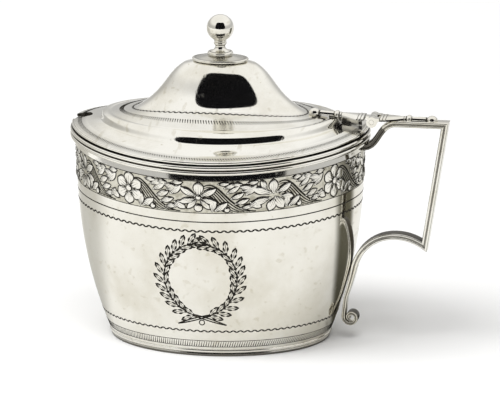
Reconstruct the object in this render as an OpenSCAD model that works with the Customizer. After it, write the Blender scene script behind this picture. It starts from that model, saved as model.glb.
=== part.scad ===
/* [Body] */
// Half length of the oval mouth, outside the wall
body_half_len = 42.8; // [36:0.1:52]
// Half length of the oval where the wall meets the foot line
foot_half_len = 32.0; // [28:0.1:34]
// Height of the mouth above the table
mouth_z = 63.05; // [56:0.05:72]
// How far the mouth dips at its sides below its two ends
side_dip = 3.4; // [0:0.1:5]
// Depth of the oval plan as a share of its length
plan_ratio = 0.85; // [0.75:0.01:1]
// How quickly the wall swells from the foot
belly_power = 2.6; // [2:0.1:3.2]
// Thickness of the silver wall
wall = 0.9; // [0.7:0.05:1.3]
// Height of the foot wire
foot_h = 2.2; // [1.6:0.1:3]
// Width of the foot wire from front to back of its section
foot_wire_w = 1.6; // [1.2:0.1:2.2]
// Thickness of the base plate
floor_t = 1.0; // [0.7:0.1:1.6]
// Radius of each of the two rim reeds
reed_r = 0.8; // [0.5:0.05:0.9]
// How far the rim moulding stands out from the wall
rim_stand = 1.0; // [0.6:0.1:1.4]

/* [Liner] */
// Thickness of the glass
glass_t = 1.6; // [1.2:0.1:2.2]
// Gap between the glass and the silver wall
liner_gap = 0.5; // [0.3:0.1:0.9]
// How far the liner's lip stays below the mouth
liner_drop = 3.6; // [3.2:0.1:5]

/* [Lid] */
// How far the lid edge stands out past the wall
lid_edge_stand = 1.2; // [0.8:0.1:1.5]
// Gap between the closed lid and the mouth
lid_gap = 0.2; // [0.1:0.05:0.3]
// Rise of the flange from its edge to the cove
flange_rise = 1.65; // [1.3:0.05:2]
// Distance from the wall line in to the edge of the raised ledge
ledge_set = 10.2; // [9.6:0.1:11]
// Height of the ledge edge above the closed lid's underside
ledge_rise = 3.75; // [3.4:0.05:4]
// Width of the ledge from its edge to the foot of the dome
ledge_w = 7.2; // [6.6:0.1:8]
// How far the ledge's edge dips at its sides
ledge_dip = 1.2; // [0:0.1:2]
// How far the dome's foot rises at its sides
dome_rise = 1.4; // [0:0.1:2]
// Height of the dome from its foot to its crown
dome_h = 15.6; // [13:0.1:18]
// Thickness of the lid's sheet measured upright
lid_t = 0.7; // [0.5:0.05:0.8]
// Width of the spoon notch
notch_w = 6.8; // [5:0.1:9]
// Depth of the spoon notch from the lid edge
notch_depth = 5.6; // [4:0.1:7]
// Height of the collar that fits inside the mouth
bezel_h = 2.4; // [1.8:0.1:2.8]
// Gap between that collar and the wall of the mouth
bezel_gap = 0.6; // [0.45:0.05:1]

/* [Finial] */
// Radius of the ball
ball_r = 4.0; // [3:0.1:4.6]
// Radius of the turned collar
collar_r = 3.8; // [3:0.1:4.6]
// Radius of the neck below the ball
neck_r = 1.5; // [1.3:0.1:2]
// Height of the turned stem from the saucer to the ball
stem_h = 4.6; // [4:0.1:6]
// Radius of the saucer under the finial
saucer_r = 8.2; // [6.5:0.1:9]
// Radius of the stud that holds the finial
stud_r = 1.15; // [0.9:0.05:1.2]

/* [Hinge] */
// Distance of the hinge axis out from the wall at the mouth
hinge_stand = 2.8; // [2.6:0.1:4]
// Height of the hinge axis above the mouth
hinge_rise = 3.55; // [3.3:0.05:4]
// Outer radius of the barrel
barrel_r = 1.6; // [1.4:0.05:1.7]
// Length of the whole barrel
barrel_len = 7.6; // [6:0.1:9]
// Radius of the hinge pin
pin_r = 0.7; // [0.5:0.05:0.8]
// Running clearance round the pin
pin_clear = 0.05; // [0.03:0.01:0.08]
// Gap between neighbouring knuckles
knuckle_gap = 0.15; // [0.1:0.05:0.3]
// Thickness of the two hinge leaves
leaf_t = 1.3; // [1:0.1:1.5]
// Half width of a leaf at the barrel
leaf_half_w = 3.6; // [3:0.1:4]
// Length of each leaf from the barrel to its knob
leaf_len = 16.8; // [15:0.1:17.4]
// Distance from the hinge axis to each leaf's end
leaf_end = 2.3; // [2.2:0.1:2.6]
// Upward lean of the lid's leaf in degrees
leaf_lean = 4; // [3:0.5:6]

/* [Handle] */
// Width of the handle strap from front to back
strap_w = 4.5; // [3.5:0.1:5.5]
// Thickness of the handle strap
strap_t = 1.9; // [1.4:0.1:2.2]
// Distance of the upper corner out from the wall at the mouth
grip_reach = 24.25; // [21:0.05:29]
// How far the lower corner is set in from the upper one
grip_lean = 5.85; // [3:0.05:9]
// Height of the lower corner
grip_z = 29.2; // [26:0.1:33]
// Height at which the arch reaches the wall
arch_z = 22.5; // [20:0.1:25]
// Height at which the tail leaves the wall
tail_z = 12.5; // [11:0.1:14]
// Radius of the scroll at the end of the tail
scroll_r = 2.3; // [1.9:0.1:2.6]
// Thickness of the tail at the scroll
scroll_t = 1.1; // [0.9:0.1:1.4]

/* [Hidden] */
$fn = 64;
silver = "#d9d6cc";
cobalt = "#1b2f86";
// Sides of an oval, and rows up the wall
oval_sides = 64;
wall_rows = 9;
// Hair gap between soldered pieces of one body
seat = 0.01;
// Rise of the ledge from its edge to the foot of the dome
ledge_fall = 0.9;
// Places that follow from the sizes above
ledge_half_len = body_half_len - ledge_set;
dome_half_len = ledge_half_len - ledge_w;
hinge_x = body_half_len + hinge_stand;
grip_x = body_half_len + grip_reach;
lid_z = mouth_z + lid_gap;
hinge_z = mouth_z + hinge_rise;
leaf_z = hinge_z + barrel_r - leaf_t;
dome_z = lid_z + ledge_rise + ledge_fall;
crown_z = dome_z + dome_h;
floor_z = foot_h + floor_t;
liner_top = mouth_z - liner_drop;
rim_z = mouth_z - 4 * reed_r;
strap_z = leaf_z - strap_t / 2;
saucer_t = 0.8;
stem_z = crown_z + saucer_t;
ball_sink = 0.1;
ball_z = stem_z + stem_h + ball_r * (1 - ball_sink);
// The leaning leaf is set back so that its top corner clears the knuckle
lid_leaf_x = hinge_x - leaf_end - leaf_t * sin(leaf_lean);
knuckle_len = (barrel_len - 2 * knuckle_gap) / 3;
lid_edge = body_half_len + lid_edge_stand;

// Half length of the wall's outside at height z
function body_a(z) =
    body_half_len - (body_half_len - foot_half_len) * pow(1 - z / mouth_z, belly_power);

// The sides dip more and more from above the lower body to the mouth
dip_start = 10;
function dip(z) = side_dip * min(1, max(0, (z - dip_start) / (mouth_z - dip_start)));

// Corners of an oval ring: half length, depth ratio, height at its ends and, if given, its own dip
function oval_row(r) =
    let (d = len(r) > 3 ? r[3] : dip(r[2]))
    [for (i = [0 : oval_sides - 1])
        let (t = 360 * i / oval_sides, s = sin(t))
        [r[0] * cos(t), r[0] * r[1] * s, r[2] - d * s * s]];

// Flat oval of half length a
module oval(a) {
    polygon([for (p = oval_row([a, plan_ratio, 0])) [p[0], p[1]]]);
}

// Skin through a stack of ovals. Closed joins the last row to the first, otherwise both ends are capped.
module oval_skin(rows, closed = true) {
    n = oval_sides;
    m = len(rows);
    last = closed ? m - 1 : m - 2;
    at = function(j, i) (j % m) * n + i % n;
    points = [for (r = rows) each oval_row(r)];
    sides = [for (j = [0 : last], i = [0 : n - 1])
        let (a = at(j, i), b = at(j, i + 1), c = at(j + 1, i), d = at(j + 1, i + 1))
        each [[a, c, b], [b, c, d]]];
    bottom = [for (i = [0 : n - 1]) at(0, i)];
    top = [for (i = [n - 1 : -1 : 0]) at(m - 1, i)];
    caps = closed ? [] : [bottom, top];
    polyhedron(points = points, faces = concat(sides, caps));
}

// Silver pieces of the pot

module body_shell() {
    zs = [for (i = [0 : wall_rows]) foot_h + (mouth_z - foot_h) * i / wall_rows];
    outer = [for (z = zs) [body_a(z), plan_ratio, z]];
    inner = [for (i = [wall_rows : -1 : 0]) [body_a(zs[i]) - wall, plan_ratio, zs[i]]];
    color(silver) oval_skin(concat(outer, inner));
}

module base_plate() {
    a = body_a(foot_h) - wall - seat;
    color(silver) translate([0, 0, foot_h]) linear_extrude(floor_t) oval(a);
}

// Foot wire in two steps, the upper one a shade wider
module foot_rim() {
    a = body_a(foot_h);
    step = 0.3;
    tread_h = foot_h * 0.6;
    color(silver) union() {
        linear_extrude(tread_h) difference() {
            oval(a - step);
            oval(a - foot_wire_w);
        }
        translate([0, 0, tread_h]) linear_extrude(foot_h - tread_h - seat) difference() {
            oval(a + step / 2);
            oval(a - foot_wire_w);
        }
    }
}

module rim_moulding() {
    steps = 5;
    // Share of a reed's round that shows, and the quirk between the two
    bulge = 0.9;
    quirk = 0.02 * reed_r;
    back = body_half_len + seat;
    reed = function(z0) [for (i = [0 : steps])
        let (t = -90 + 180 * i / steps)
        [back + rim_stand + reed_r * bulge * cos(t), plan_ratio, z0 + reed_r + (reed_r - quirk) * sin(t)]];
    outer = concat(reed(rim_z), reed(rim_z + 2 * reed_r));
    inner = [[back, plan_ratio, mouth_z - quirk], [back, plan_ratio, rim_z + quirk]];
    color(silver) oval_skin(concat(outer, inner));
}

module glass_liner() {
    z0 = floor_z + seat;
    zs = [for (i = [0 : wall_rows]) z0 + (liner_top - z0) * i / wall_rows];
    outer = [for (z = zs) [body_a(z) - wall - liner_gap, plan_ratio, z]];
    inside = wall + liner_gap + glass_t;
    inner = [for (i = [wall_rows : -1 : 0])
        [body_a(zs[i]) - inside, plan_ratio, max(zs[i], z0 + glass_t)]];
    color(cobalt, 0.6) oval_skin(concat(outer, inner), closed = false);
}

// Handle: one strap path in the plane of the axis, cut at its two mitred corners

function bezier(p, t) =
    let (s = 1 - t)
    s * s * s * p[0] + 3 * s * s * t * p[1] + 3 * s * t * t * p[2] + t * t * t * p[3];
function curve(p, n, first = 0) = [for (i = [first : n]) bezier(p, i / n)];

// Points along each curve of the strap
curve_rows = 12;
// Gap of the neck below the rim, and how far its swoop reaches
neck_drop = 0.25;
neck_swing = 4.6;
neck_dip = 0.4;
neck_rise = 1.7;
neck_end = 7;
neck_z = rim_z - strap_t / 2 - neck_drop;
neck_x = body_a(neck_z) + seat;
neck = curve([[neck_x, neck_z], [neck_x + neck_swing, neck_z - neck_dip],
    [hinge_x + neck_rise, strap_z], [hinge_x + neck_end, strap_z]], curve_rows);
corner_up = [grip_x, strap_z];
corner_low = [grip_x - grip_lean, grip_z];
// Tail of the strap lies along the wall with a hair of solder behind it
wall_stand = strap_t / 2 + 0.1;
arch_foot = [body_a(arch_z) + wall_stand, arch_z];
// Pulls that shape the arch at its two ends
arch_pull_low = [-7.2, 5];
arch_pull_wall = [2.9, 10];
arch = curve([corner_low, corner_low + arch_pull_low, arch_foot + arch_pull_wall, arch_foot],
    curve_rows, 1);
tail_rows = 5;
tail = [for (i = [1 : tail_rows])
    let (z = arch_z + (tail_z - arch_z) * i / tail_rows) [body_a(z) + wall_stand, z]];
// Scroll rolled outwards, tightening as it turns
scroll_c = [body_a(tail_z) + scroll_r + 0.4, tail_z - 5.8];
scroll_rows = 14;
scroll_start = 165;
scroll_turn = 300;
scroll_tight = 0.32;
scroll = [for (i = [0 : scroll_rows])
    let (s = i / scroll_rows, t = scroll_start + scroll_turn * s, r = scroll_r * (1 - scroll_tight * s))
    scroll_c + r * [cos(t), sin(t)]];
path = concat(neck, [corner_up, corner_low], arch, tail, scroll);
cut_a = len(neck);
cut_b = cut_a + 1;
tail_start = cut_b + len(arch);
// Thickness falls along the tail to that of the scroll
thin = (strap_t - scroll_t) / tail_rows;
thick = [for (i = [0 : len(path) - 1])
    i <= tail_start ? strap_t : max(scroll_t, strap_t - thin * (i - tail_start))];

function unit(v) = v / norm(v);
function turn(v) = [-v[1], v[0]];
// Mitred offset direction of the path at point i
function side(i) = let (
        n1 = turn(unit(path[max(i, 1)] - path[max(i, 1) - 1])),
        n2 = turn(unit(path[min(i, len(path) - 2) + 1] - path[min(i, len(path) - 2)])),
        m = unit(n1 + n2))
    m / (m * n1);

// Strap between two points of the path, seen from the front
module strap(first, last) {
    left = [for (i = [first : last]) path[i] + side(i) * thick[i] / 2];
    right = [for (i = [last : -1 : first]) path[i] - side(i) * thick[i] / 2];
    rotate([90, 0, 0]) linear_extrude(strap_w, center = true) polygon(concat(left, right));
}

module handle_top_limb() { color(silver) strap(0, cut_a); }

module handle_back_limb() { color(silver) strap(cut_a, cut_b); }

module handle_lower_arch() { color(silver) strap(cut_b, len(path) - 1); }

// Hinge

// Flat baluster leaf, running along X from the barrel to its knob
module leaf() {
    knob_r = 1.7;
    bead_r = 2.0;
    bead_x = leaf_len * 0.5;
    waist = 1.1;
    swell = 8;
    fall = 1.2;
    blade = [for (i = [0 : swell])
        let (s = i / swell, share = 0.5 + 0.5 * cos(180 * pow(s, fall)))
        [bead_x * s, waist + (leaf_half_w - waist) * share]];
    slim = 0.8;
    shaft = [[bead_x * 1.3, waist * slim], [leaf_len - 2 * knob_r, waist],
        [leaf_len - knob_r, waist / slim]];
    half = concat(blade, shaft);
    mirrored = [for (i = [len(half) - 1 : -1 : 0]) [half[i][0], -half[i][1]]];
    union() {
        linear_extrude(leaf_t) polygon(concat(half, mirrored));
        translate([bead_x, 0, 0]) cylinder(r = bead_r, h = leaf_t);
        translate([leaf_len - knob_r, 0, 0]) cylinder(r = knob_r, h = leaf_t);
    }
}

module handle_leaf() {
    color(silver) translate([hinge_x + leaf_end, 0, leaf_z + seat]) leaf();
}

module lid_leaf() {
    color(silver) translate([lid_leaf_x, 0, leaf_z])
        rotate([0, leaf_lean, 0]) mirror([1, 0, 0]) leaf();
}

// Round bar along the hinge axis, centred at y
module hinge_bar(r, y, h) {
    translate([hinge_x, y, hinge_z]) rotate([90, 0, 0]) cylinder(r = r, h = h, center = true);
}

// One knuckle centred at y with a web that reaches its leaf on the side given by way
module knuckle(y, way) {
    web_t = leaf_t * 0.7;
    difference() {
        union() {
            hinge_bar(barrel_r, y, knuckle_len);
            translate([hinge_x + way * leaf_end / 2, y, leaf_z + web_t / 2])
                cube([leaf_end - 2 * seat, knuckle_len, web_t], center = true);
        }
        hinge_bar(pin_r + pin_clear, y, knuckle_len * 2);
    }
}

module handle_knuckles() {
    color(silver) for (s = [-1, 1]) knuckle(s * (knuckle_len + knuckle_gap), 1);
}

module lid_knuckle() { color(silver) knuckle(0, -1); }

module hinge_pin() {
    color(silver) hinge_bar(pin_r, 0, barrel_len);
}

// Lid

// Width of the flange inside the wall line
flange_w = 3.2;
flange_in = body_half_len - flange_w;
flange_z = lid_z + flange_rise;
ledge_z = lid_z + ledge_rise;
// The oval narrows from the flange to the ledge and to the foot of the dome
flange_ratio = plan_ratio - 0.02;
ledge_ratio = plan_ratio - 0.15;
dome_ratio = plan_ratio - 0.26;
crown_ratio = plan_ratio - 0.25;
// Concave cove between flange and ledge
cove_power = 1.9;
cove = [for (s = [0.25 : 0.25 : 1])
    [flange_in + (ledge_half_len - flange_in) * s, flange_ratio + (ledge_ratio - flange_ratio) * s,
        flange_z + (ledge_z - flange_z) * pow(s, cove_power), side_dip + (ledge_dip - side_dip) * s]];
bell_rows = 10;
crown_a = saucer_r * 0.6;
// The bell flares at its foot and closes in a round shoulder
shoulder = 0.58;
shoulder_power = 2.6;
flare_power = 3.2;
function bell_share(h) =
    shoulder * sqrt(1 - pow(h, shoulder_power)) + (1 - shoulder) * pow(1 - h, flare_power);
function bell_a(h) = crown_a + (dome_half_len - crown_a) * bell_share(h);
bell = [for (i = [1 : bell_rows - 1])
    let (h = i / bell_rows)
    [bell_a(h), dome_ratio + (crown_ratio - dome_ratio) * h, dome_z + dome_h * h,
        -dome_rise * (1 - h) * (1 - h)]];
bore_clear = 0.15;
bore_r = stud_r + bore_clear;
// Rounded edge of the lid, and the slope of the flange behind it
edge_round = 0.4;
edge_h = 0.9;
flange_bend = 1.4;
flange_fall = 0.3;
crown_fall = 0.15;
lid_top = concat(
    [[lid_edge - edge_round, plan_ratio, lid_z, side_dip]],
    [[lid_edge, plan_ratio, lid_z + edge_round, side_dip]],
    [[lid_edge - edge_round, plan_ratio, lid_z + edge_h, side_dip]],
    [[flange_in + flange_bend, (plan_ratio + flange_ratio) / 2, flange_z - flange_fall, side_dip]],
    [[flange_in, flange_ratio, flange_z, side_dip]],
    cove,
    [[(ledge_half_len + dome_half_len) / 2, (ledge_ratio + dome_ratio) / 2, (ledge_z + dome_z) / 2,
        (ledge_dip - dome_rise) / 2]],
    [[dome_half_len, dome_ratio, dome_z, -dome_rise]],
    bell,
    [[crown_a, crown_ratio, crown_z - crown_fall, 0]],
    [[bore_r, 1, crown_z, 0]]);
// The edge rows have no underside of their own, and the sheet leans with the lid
edge_rows = 3;
sheet_side = lid_t * 0.9;
edge_bearing = 1.6;
// Row of the lid's underside below row i of its top
function lid_under(i) =
    [max(bore_r, lid_top[i][0] - sheet_side), lid_top[i][1], lid_top[i][2] - lid_t, lid_top[i][3]];

module notch_cutter() {
    r = notch_w / 2;
    x0 = -lid_edge + notch_depth - r;
    translate([x0, 0, 0]) cylinder(r = r, h = dome_z);
    translate([x0 - lid_edge, -r, 0]) cube([lid_edge, notch_w, dome_z]);
}

module lid_shell() {
    under = [for (i = [len(lid_top) - 1 : -1 : edge_rows]) lid_under(i)];
    color(silver) difference() {
        oval_skin(concat(lid_top, under, [[lid_edge - edge_bearing, plan_ratio, lid_z, side_dip]]));
        notch_cutter();
    }
}

module lid_bezel() {
    a = body_half_len - wall - bezel_gap;
    collar_t = 0.8;
    // The collar meets the flange along one ring of its underside
    ring = lid_under(edge_rows);
    rows = [[a, plan_ratio, lid_z - bezel_h, side_dip], [a, plan_ratio, lid_z, side_dip],
        [ring[0], ring[1], ring[2] - seat, side_dip], [ring[0] - collar_t, ring[1], ring[2] - seat, side_dip],
        [a - collar_t, plan_ratio, lid_z - bezel_h, side_dip]];
    color(silver) difference() {
        oval_skin(rows);
        notch_cutter();
    }
}

// Web between the cove of the lid and the underside of the lid's leaf
module lid_bracket() {
    web_w = 4.4;
    foot = [for (r = concat([lid_top[edge_rows], lid_top[edge_rows + 1]], cove)) [r[0], r[2] + seat]];
    far = ledge_half_len;
    near = foot[0][0];
    under = function(x) leaf_z + (lid_leaf_x - x) * tan(leaf_lean) - seat;
    color(silver) rotate([90, 0, 0]) linear_extrude(web_w, center = true)
        polygon(concat(foot, [[far, under(far)], [near, under(near)]]));
}

// Finial

// Oval disc under the finial with a drooping lip and a round bore
module dome_saucer() {
    lip = 0.2;
    droop = 0.55;
    seat_ratio = 0.95;
    color(silver) oval_skin([[bore_r, 1, crown_z + seat, 0], [crown_a, crown_ratio, crown_z + seat, 0],
        [saucer_r, crown_ratio, crown_z - droop, 0], [saucer_r + lip, crown_ratio, crown_z - lip / 2, 0],
        [saucer_r, crown_ratio, crown_z + lip, 0], [collar_r, seat_ratio, stem_z, 0],
        [bore_r, 1, stem_z, 0]]);
}

// Height of the nut, and the stud that reaches through it
nut_h = 1.7;
nut_r = 2.6;
stud_len = saucer_t + lid_t + nut_h + 1;

// Collar, cove and neck of the turned stem, as distances out and up
collar = [[collar_r - 0.3, seat], [collar_r, 0.35], [collar_r, 1.0], [collar_r - 0.45, 1.4]];
spool = [[neck_r + 1.0, 1.9], [neck_r + 0.35, 2.3], [neck_r, 2.9]];
bead_r = 0.38;

// Stud, collar, spool and neck, with two beads under the ball
module finial_stem() {
    color(silver) translate([0, 0, stem_z]) rotate_extrude() {
        translate([0, -stud_len]) square([stud_r, stud_len + bead_r]);
        polygon(concat([[0, seat]], collar, spool, [[neck_r, stem_h], [0, stem_h]]));
        intersection() {
            union() {
                translate([neck_r, stem_h - 2.6 * bead_r]) circle(r = bead_r);
                translate([neck_r, stem_h - bead_r]) circle(r = bead_r * 0.8);
            }
            square([neck_r + 1, stem_h]);
        }
    }
}

module finial_ball() {
    socket_r = neck_r + 0.6;
    color(silver) difference() {
        translate([0, 0, ball_z]) sphere(r = ball_r);
        translate([0, 0, stem_z]) cylinder(r = socket_r, h = stem_h + seat);
    }
}

// Six-sided nut inside the crown of the dome
module finial_nut() {
    thread_clear = 0.02;
    nut_drop = 0.2;
    nut_z = crown_z - lid_t - nut_h - nut_drop;
    color(silver) translate([0, 0, nut_z]) difference() {
        cylinder(r = nut_r, h = nut_h, $fn = 6);
        translate([0, 0, -nut_h / 2]) cylinder(r = stud_r + thread_clear, h = 2 * nut_h);
    }
}

body_shell();
base_plate();
foot_rim();
rim_moulding();
glass_liner();
handle_top_limb();
handle_back_limb();
handle_lower_arch();
handle_leaf();
handle_knuckles();
hinge_pin();
lid_shell();
lid_bezel();
lid_bracket();
lid_leaf();
lid_knuckle();
dome_saucer();
finial_stem();
finial_ball();
finial_nut();
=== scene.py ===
"""Oval silver mustard pot with a hinged domed lid: smooth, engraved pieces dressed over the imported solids."""

import logging
import math
from collections.abc import Callable, Sequence
from dataclasses import dataclass, field
from enum import Enum
from typing import Any, ClassVar, NamedTuple

import bmesh
import bpy
from mathutils import Matrix, Vector


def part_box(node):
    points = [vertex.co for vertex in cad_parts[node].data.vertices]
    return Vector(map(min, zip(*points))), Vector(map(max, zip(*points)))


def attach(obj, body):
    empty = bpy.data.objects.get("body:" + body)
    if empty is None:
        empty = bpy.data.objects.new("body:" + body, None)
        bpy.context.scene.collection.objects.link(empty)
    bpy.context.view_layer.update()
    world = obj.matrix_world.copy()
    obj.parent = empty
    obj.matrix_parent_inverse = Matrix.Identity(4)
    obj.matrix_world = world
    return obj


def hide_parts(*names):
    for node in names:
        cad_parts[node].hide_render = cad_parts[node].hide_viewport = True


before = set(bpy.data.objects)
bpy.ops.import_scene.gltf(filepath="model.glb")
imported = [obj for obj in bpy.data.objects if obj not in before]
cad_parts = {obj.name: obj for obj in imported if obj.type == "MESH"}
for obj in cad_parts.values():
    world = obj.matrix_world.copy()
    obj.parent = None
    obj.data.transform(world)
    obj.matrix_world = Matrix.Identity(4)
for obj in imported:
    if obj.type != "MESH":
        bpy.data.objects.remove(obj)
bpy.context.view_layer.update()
LOG = logging.getLogger("mustard_pot")
MM = 0.001
FULL_TURN = 2 * math.pi
# A hair's gap in millimetres keeps two faces from lying in one plane
HAIR = 0.01

Point2 = tuple[float, float]
Point3 = tuple[float, float, float]
Colour = tuple[float, float, float]


class Carrier(Enum):
    """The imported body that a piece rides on."""

    POT = "pot"
    LID = "lid"


class Slot(Enum):
    """A material slot for a piece, which seat is given but doesn't read."""

    SILVER = "silver"
    GLASS = "blue_glass"


def span(node: str) -> tuple[Vector, Vector]:
    """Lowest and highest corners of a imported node's box, in millimetres."""
    low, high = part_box(node)
    return low / MM, high / MM


def between(first: float, last: float, share: float) -> float:
    """Value at a share of the way from the first to the last."""
    return first + (last - first) * share


# Node graphs


@dataclass(frozen=True)
class Sock:
    """An output socket whose arithmetic adds Math nodes to its graph."""

    graph: "Graph"
    socket: bpy.types.NodeSocket | None

    def math(self, operation: str, left: Any, right: Any = 0.0) -> "Sock":
        """Add one Math node for an operation on two values."""
        return self.graph.node("ShaderNodeMath", {"operation": operation}, {0: left, 1: right})

    def __add__(self, other: Any) -> "Sock":
        """Sum with a value on the right."""
        return self.math("ADD", self, other)

    def __radd__(self, other: Any) -> "Sock":
        """Sum with a value on the left."""
        return self.math("ADD", other, self)

    def __sub__(self, other: Any) -> "Sock":
        """Difference with a value on the right."""
        return self.math("SUBTRACT", self, other)

    def __rsub__(self, other: Any) -> "Sock":
        """Difference with a value on the left."""
        return self.math("SUBTRACT", other, self)

    def __mul__(self, other: Any) -> "Sock":
        """Product with a value on the right."""
        return self.math("MULTIPLY", self, other)

    def __rmul__(self, other: Any) -> "Sock":
        """Product with a value on the left."""
        return self.math("MULTIPLY", other, self)

    def __truediv__(self, other: Any) -> "Sock":
        """Quotient by a value."""
        return self.math("DIVIDE", self, other)

    def __pow__(self, other: Any) -> "Sock":
        """Power of a value."""
        return self.math("POWER", self, other)

    def at_most(self, other: Any) -> "Sock":
        """Smaller of this and another value."""
        return self.math("MINIMUM", self, other)

    def at_least(self, other: Any) -> "Sock":
        """Larger of this and another value."""
        return self.math("MAXIMUM", self, other)

    def sin(self) -> "Sock":
        """Sine of the value."""
        return self.math("SINE", self)

    def cos(self) -> "Sock":
        """Cosine of the value."""
        return self.math("COSINE", self)

    def step(self, low: float, high: float) -> "Sock":
        """Smooth step from 0 at low to 1 at high."""
        sockets = {"Value": self, "From Min": low, "From Max": high}
        return self.graph.node("ShaderNodeMapRange", {"interpolation_type": "SMOOTHSTEP"}, sockets)

    def beside(self, name: str) -> "Sock":
        """Another output of the same node."""
        return Sock(self.graph, self.socket.node.outputs[name])


@dataclass(frozen=True)
class Graph:
    """A node tree that is written as Python expressions."""

    tree: bpy.types.NodeTree

    def feed(self, made: bpy.types.Node, sockets: dict[str | int, Any]) -> None:
        """Set or link inputs of a node.

        Args:
            made: The node.
            sockets: Values or links of its inputs.
        """
        for key, value in sockets.items():
            if isinstance(value, Sock):
                self.tree.links.new(value.socket, made.inputs[key])
            else:
                made.inputs[key].default_value = value

    def node(
        self,
        kind: str,
        settings: dict[str, Any] | None = None,
        sockets: dict[str | int, Any] | None = None,
        out: str | int = 0,
    ) -> Sock:
        """Add one node.

        Args:
            kind: Blender's name of the node's type.
            settings: Properties that are set first.
            sockets: Values or links of its inputs.
            out: The output that is wanted.

        Returns:
            That output.
        """
        made = self.tree.nodes.new(kind)
        for key, value in (settings or {}).items():
            setattr(made, key, value)
        self.feed(made, sockets or {})
        return Sock(self, made.outputs[out] if len(made.outputs) else None)

    def place(self) -> Sock:
        """Object coordinates, in metres."""
        return self.node("ShaderNodeTexCoord", out="Object")

    def axes(self, vector: Sock) -> tuple[Sock, Sock, Sock]:
        """The three parts of a vector."""
        first = self.node("ShaderNodeSeparateXYZ", None, {"Vector": vector})
        return first, first.beside("Y"), first.beside("Z")

    def vector(self, x: Any, y: Any = 0.0, z: Any = 0.0) -> Sock:
        """A vector of three parts."""
        return self.node("ShaderNodeCombineXYZ", None, {"X": x, "Y": y, "Z": z})

    def blend(self, factor: Any, under: Any, over: Any) -> Sock:
        """Mix two colours.

        Args:
            factor: Share of the second colour.
            under: First colour.
            over: Second colour.

        Returns:
            The mixed colour.
        """
        colours = [value if isinstance(value, Sock) else (*value, 1.0) for value in (under, over)]
        return self.node("ShaderNodeMix", {"data_type": "RGBA"}, {0: factor, 6: colours[0], 7: colours[1]}, 2)

    def noise(self, place: Sock, scale: float, detail: float = 2.0, rough: float = 0.5) -> Sock:
        """Noise at a place.

        Args:
            place: Coordinates in metres.
            scale: Noise cells in a metre.
            detail: Octaves of finer noise.
            rough: Share of the finer octaves.

        Returns:
            A value from 0 to 1.
        """
        sockets = {"Vector": place, "Scale": scale, "Detail": detail, "Roughness": rough}
        return self.node("ShaderNodeTexNoise", None, sockets)


# Finishes


def new_material(name: str) -> tuple[bpy.types.Material, Graph, bpy.types.Node]:
    """Start a material.

    Args:
        name: The material's name.

    Returns:
        The material, its nodes, and the surface shader among them.
    """
    made = bpy.data.materials.new(name)
    made.use_nodes = True
    return made, Graph(made.node_tree), made.node_tree.nodes["Principled BSDF"]


@dataclass(frozen=True)
class Silver:
    """Old polished silver with soft tarnish and hair scratches, with shade painted into its recesses."""

    name: str
    tint: Colour = (0.92, 0.905, 0.85)
    tarnish: Colour = (0.70, 0.665, 0.565)
    # Near-black colour of the painted shade in quirks, grooves and under edges
    painted_shade: Colour = (0.05, 0.043, 0.03)
    roughness: float = 0.05
    tarnish_share: float = 0.62
    cloud_scale: float = 42.0
    cloud_detail: float = 6.0
    cloud_rough: float = 0.62
    tarnish_edge: Point2 = (0.40, 0.68)
    dull_edge: Point2 = (0.3, 0.8)
    cloud_dull: float = 0.07
    shade_mask_dull: float = 0.3
    ripple: float = 0.00003
    ripple_scale: float = 70.0
    scratch: float = 0.000006
    hair_scale: float = 420.0
    hair_stretch: float = 0.045
    hair_edge: Point2 = (0.66, 0.78)
    hair_ways: tuple[Point3, Point3] = ((0.3, 0.4, 0.7), (0.9, 1.3, -0.5))
    hair_share: float = 0.45
    hair_dull: float = 0.12
    speck_scale: float = 420.0
    speck_edge: Point2 = (0.74, 0.79)
    speck_share: float = 0.8

    def hairs(self, graph: Graph, place: Sock, turn: Point3) -> Sock:
        """Hair scratches in one direction.

        Args:
            graph: The material's nodes.
            place: Object coordinates.
            turn: How the scratches lie, as three angles.

        Returns:
            A mask of thin streaks.
        """
        sockets = {"Vector": place, "Rotation": turn, "Scale": (1.0, self.hair_stretch, 1.0)}
        laid = graph.node("ShaderNodeMapping", None, sockets)
        return graph.noise(laid, self.hair_scale, 1.0).step(*self.hair_edge)

    def material(self) -> bpy.types.Material:
        """Build the finish.

        Returns:
            The material. Its colour is darkened towards near black by a per-point attribute of the mesh, as
            painted shade.
        """
        made, graph, shader = new_material(self.name)
        place = graph.place()
        recess = graph.node("ShaderNodeAttribute", {"attribute_name": "recess"}, out="Fac")
        cloud = graph.noise(place, self.cloud_scale, self.cloud_detail, self.cloud_rough)
        specks = graph.noise(place, self.speck_scale, 1.0).step(*self.speck_edge)
        one_way, other_way = (self.hairs(graph, place, turn) for turn in self.hair_ways)
        hairs = one_way.at_least(other_way)
        worn = cloud.step(*self.tarnish_edge) * self.tarnish_share + hairs * self.hair_share
        body = graph.blend(worn.at_least(specks * self.speck_share), self.tint, self.tarnish)
        height = graph.noise(place, self.ripple_scale, 1.0) * self.ripple - hairs * self.scratch
        dull = cloud.step(*self.dull_edge) * self.cloud_dull + hairs * self.hair_dull
        bump = {"Height": height, "Strength": 1.0, "Distance": 1.0}
        graph.feed(shader, {
            # Painted shade: the colour goes towards near black where the mesh's shade attribute is high
            "Base Color": graph.blend(recess, body, self.painted_shade),
            "Metallic": 1.0,
            "Roughness": self.roughness + dull + recess * self.shade_mask_dull,
            "Normal": graph.node("ShaderNodeBump", None, bump),
        })
        return made


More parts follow.
